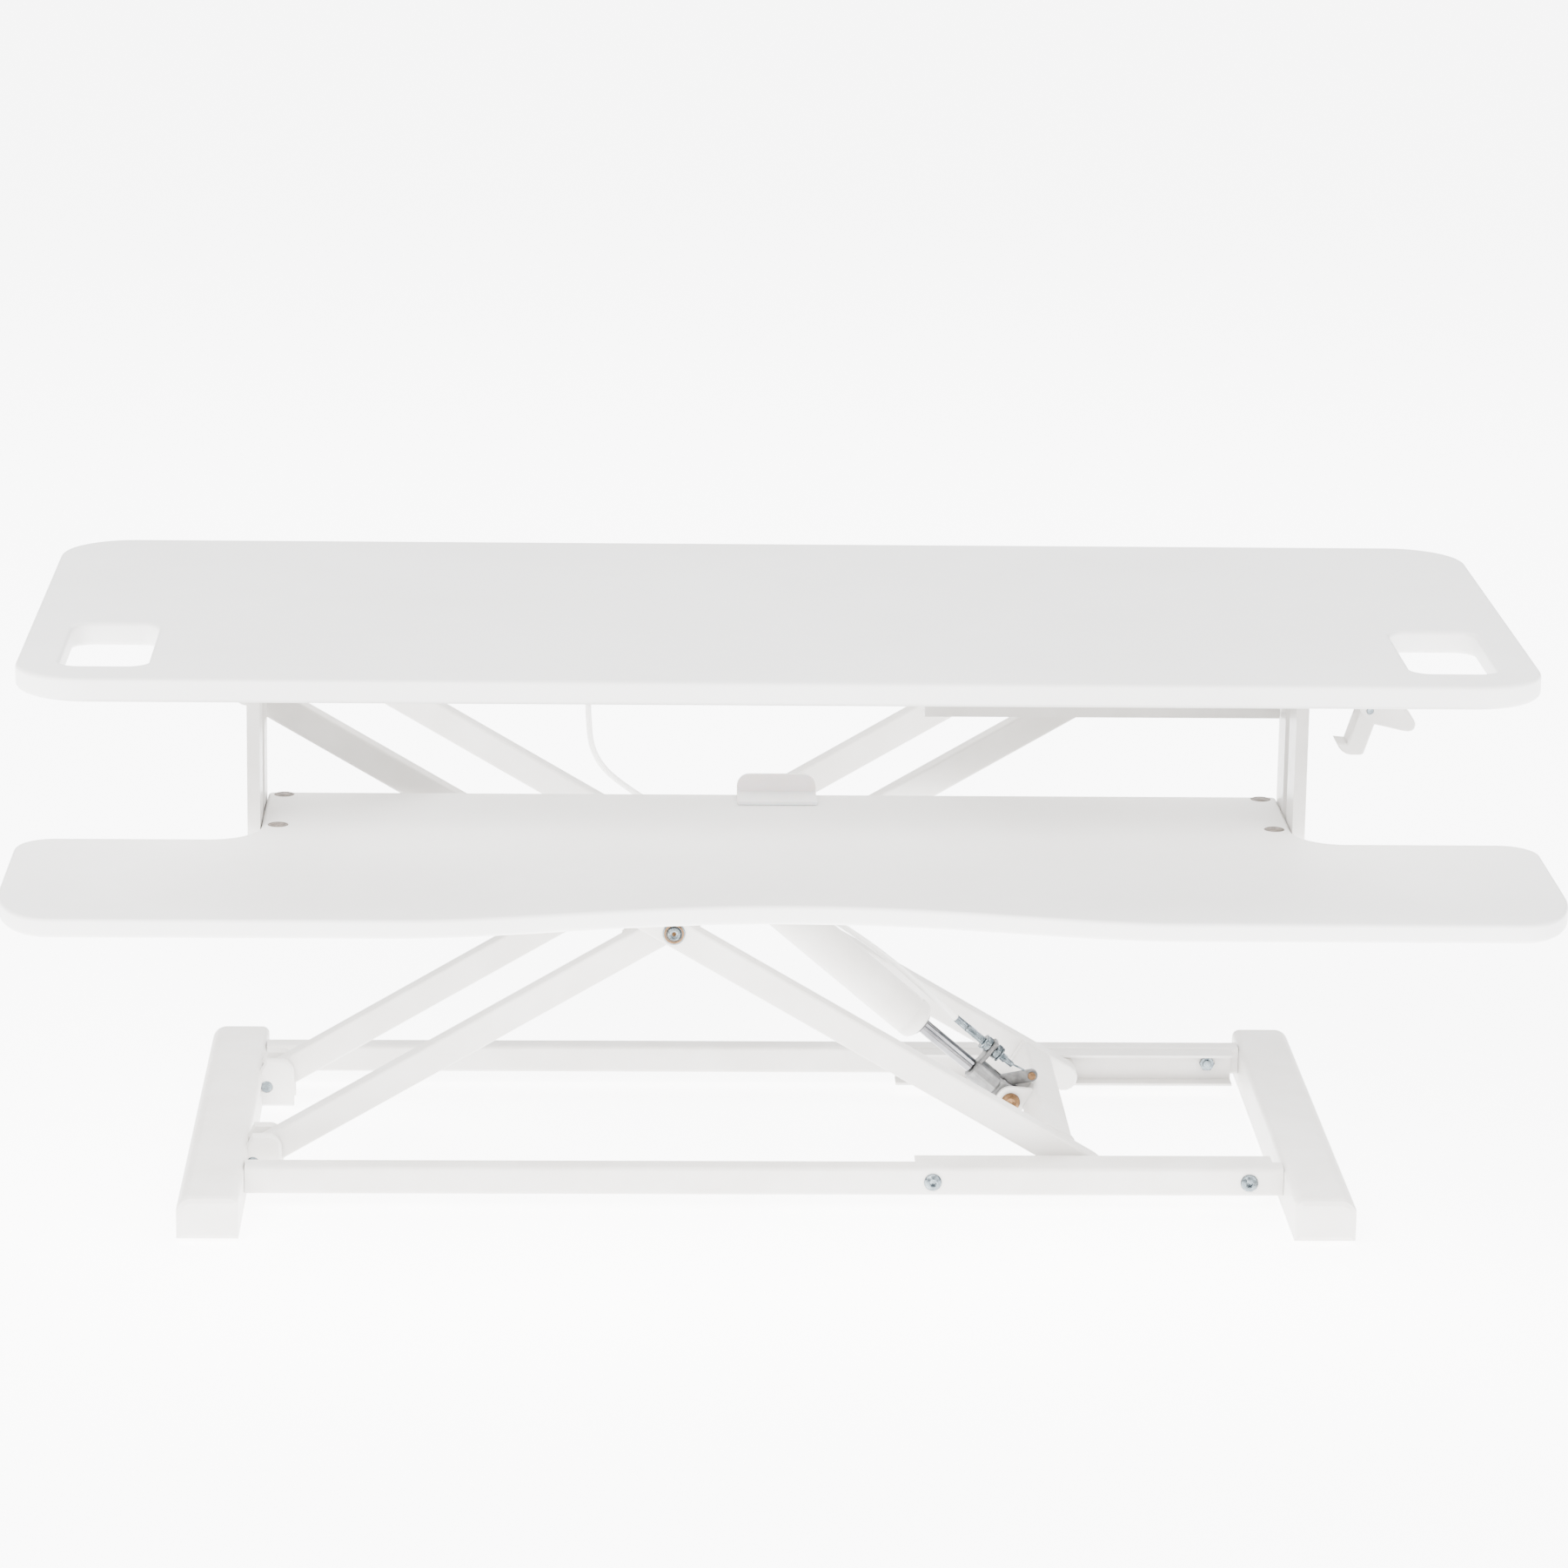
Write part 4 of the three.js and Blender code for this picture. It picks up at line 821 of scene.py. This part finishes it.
# Each tube's two sides along its arm, and half its length, in mm from the scissor's centre.
UPPER_TUBE = (-33, -13, 72)
LOWER_TUBE = (281, 303, 90)

HANGER_SCREW_INSET = 8 * MM
HANGER_SCREWS = (("a", -52 * MM), ("b", -16 * MM))
HANGER_THICK = 2.4 * MM


def tube_weld(name, body, tilt, tube):
    """Beads round a cross tube where it meets the two arms."""
    x0, x1, half = tube
    c = pivot("cross_fold")
    turn = Matrix.Rotation(-tilt, 4, "Y")
    outline = rounded(x0 - 0.4, x1 + 0.4, -TUBE_HALF_HIGH, TUBE_HALF_HIGH, 3, 5)
    for label, side in SIDES:
        path = [c + turn @ Vector((x * MM, side * half * MM, z * MM)) for x, z in outline]
        bead = swept(path, BEAD_R, 10, closed=True, ripple=0.12)
        piece(f"{name}_{label}", bead, "paint", body)


def pan_head(radius, tall):
    """A pan head with a hexagon socket."""
    return [
        (0.1, 0),
        (radius, 0),
        (radius, 0.35 * tall),
        (radius * 0.9, 0.75 * tall),
        (radius * 0.65, 0.95 * tall),
        (radius * 0.42, tall),
        (radius * 0.36, tall - 0.3),
        (radius, tall - 0.45, radius * 0.5),
        (radius, tall - 1.0, radius * 0.5),
        (0.1, tall - 1.2),
    ]


def pan_screw(name, radius, tall, segments, spot):
    """The head of a screw driven up from below."""
    bm = turned(pan_head(radius, tall), segments, matrix=at(spot, DOWNWARD))
    piece(name, bm, "zinc", "top", sharp=32)


def make_fixings():
    tray_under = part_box("hanger_left")[0].z
    for end in ENDS:
        for name, _ in SIDES:
            c = middle(f"tray_screw_cap_{end}_{name}")
            pan_screw(f"tray_screw_{end}_{name}", 5.2, 2.4, 40, (c.x, c.y, tray_under))
    for end in ENDS:
        low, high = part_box(f"hanger_{end}")
        x = high.x - HANGER_SCREW_INSET if end == "right" else low.x + HANGER_SCREW_INSET
        for label, y in HANGER_SCREWS:
            pan_screw(f"hanger_screw_{end}_{label}", 4, 1.9, 36, (x, y, high.z - HANGER_THICK))
    for end in ENDS:
        low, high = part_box(f"cable_clip_{end}")
        spot = ((low.x + high.x) / 2, low.y + 3.2 * MM, high.z - 2 * MM)
        pan_screw(f"clip_screw_{end}", 2.4, 1.4, 32, spot)


tube_weld("weld_upper_tube", "inner_arms", REST_ANGLE, UPPER_TUBE)
tube_weld("weld_lower_tube", "outer_arms", -REST_ANGLE, LOWER_TUBE)
make_fixings()

# ---------------------------------------------------------------- floor, light and camera
FLOOR_SIZE = 80
FLOOR_GLOW = 6
WORLD_GLOW = 1.5
WHITE = (1, 1, 1, 1)
LIGHTS_AIM = (0, 0, 0.2)

CAMERA_AT = Vector((-0.1262, -3.4322, 1.1961))
CAMERA_PITCH = math.radians(13.57)
CAMERA_YAW = math.radians(2.19)
CAMERA_ROLL = math.radians(0.86)
CAMERA_LENS = 126.6
CAMERA_SHIFT = -0.08


def make_floor():
    bpy.ops.mesh.primitive_plane_add(size=FLOOR_SIZE, location=(0, 0, 0))
    floor = bpy.context.object
    floor.name = "floor"
    finish = Finish(
        "floor_paper",
        Roughness=0.9,
        Emission_Color=WHITE,
        Emission_Strength=FLOOR_GLOW,
        Specular_IOR_Level=0.1,
    )
    tone = finish.ranged(finish.noise(0.8, 2.0), 0.3, 0.7)
    finish.colour(finish.mixed(tone, (0.93, 0.93, 0.93), (0.95, 0.95, 0.95)))
    floor.data.materials.append(finish.material)


def softbox(name, spot, size, power, colour=(1, 1, 1)):
    """A rectangular light that looks at the converter."""
    light = bpy.data.lights.new(name, "AREA")
    light.shape = "RECTANGLE"
    light.size, light.size_y = size
    light.energy = power
    light.color = colour
    thing = linked(name, light)
    thing.location = spot
    thing.rotation_mode = "QUATERNION"
    thing.rotation_quaternion = (Vector(LIGHTS_AIM) - Vector(spot)).to_track_quat("-Z", "Y")


def make_light():
    world = bpy.data.worlds.new("studio")
    world.use_nodes = True
    background = world.node_tree.nodes["Background"]
    background.inputs["Color"].default_value = WHITE
    background.inputs["Strength"].default_value = WORLD_GLOW
    bpy.context.scene.world = world
    softbox("key", (-1.6, -2.2, 2.6), (2.2, 1.8), 360, (1, 0.985, 0.965))
    softbox("fill", (2.4, -1.8, 1.6), (2.0, 1.6), 100)
    softbox("back", (0.3, 2.4, 2.2), (3.0, 1.2), 110, (0.97, 0.985, 1))


def make_camera():
    """A camera pitched down, with a small shift in place of the photograph's large one."""
    across = math.cos(CAMERA_PITCH)
    aim = Vector(
        (math.sin(CAMERA_YAW) * across, math.cos(CAMERA_YAW) * across, -math.sin(CAMERA_PITCH))
    )
    level = aim.cross(Vector((0, 0, 1))).normalized()
    above = level.cross(aim)
    right = level * math.cos(CAMERA_ROLL) + above * math.sin(CAMERA_ROLL)
    up = above * math.cos(CAMERA_ROLL) - level * math.sin(CAMERA_ROLL)
    data = bpy.data.cameras.new("camera")
    data.lens = CAMERA_LENS
    data.sensor_width = 36
    data.shift_y = CAMERA_SHIFT
    data.clip_end = 100
    camera = linked("camera", data)
    turn = Matrix((right, up, -aim)).transposed().to_4x4()
    camera.matrix_world = Matrix.Translation(CAMERA_AT) @ turn
    bpy.context.scene.camera = camera


make_floor()
make_light()
make_camera()
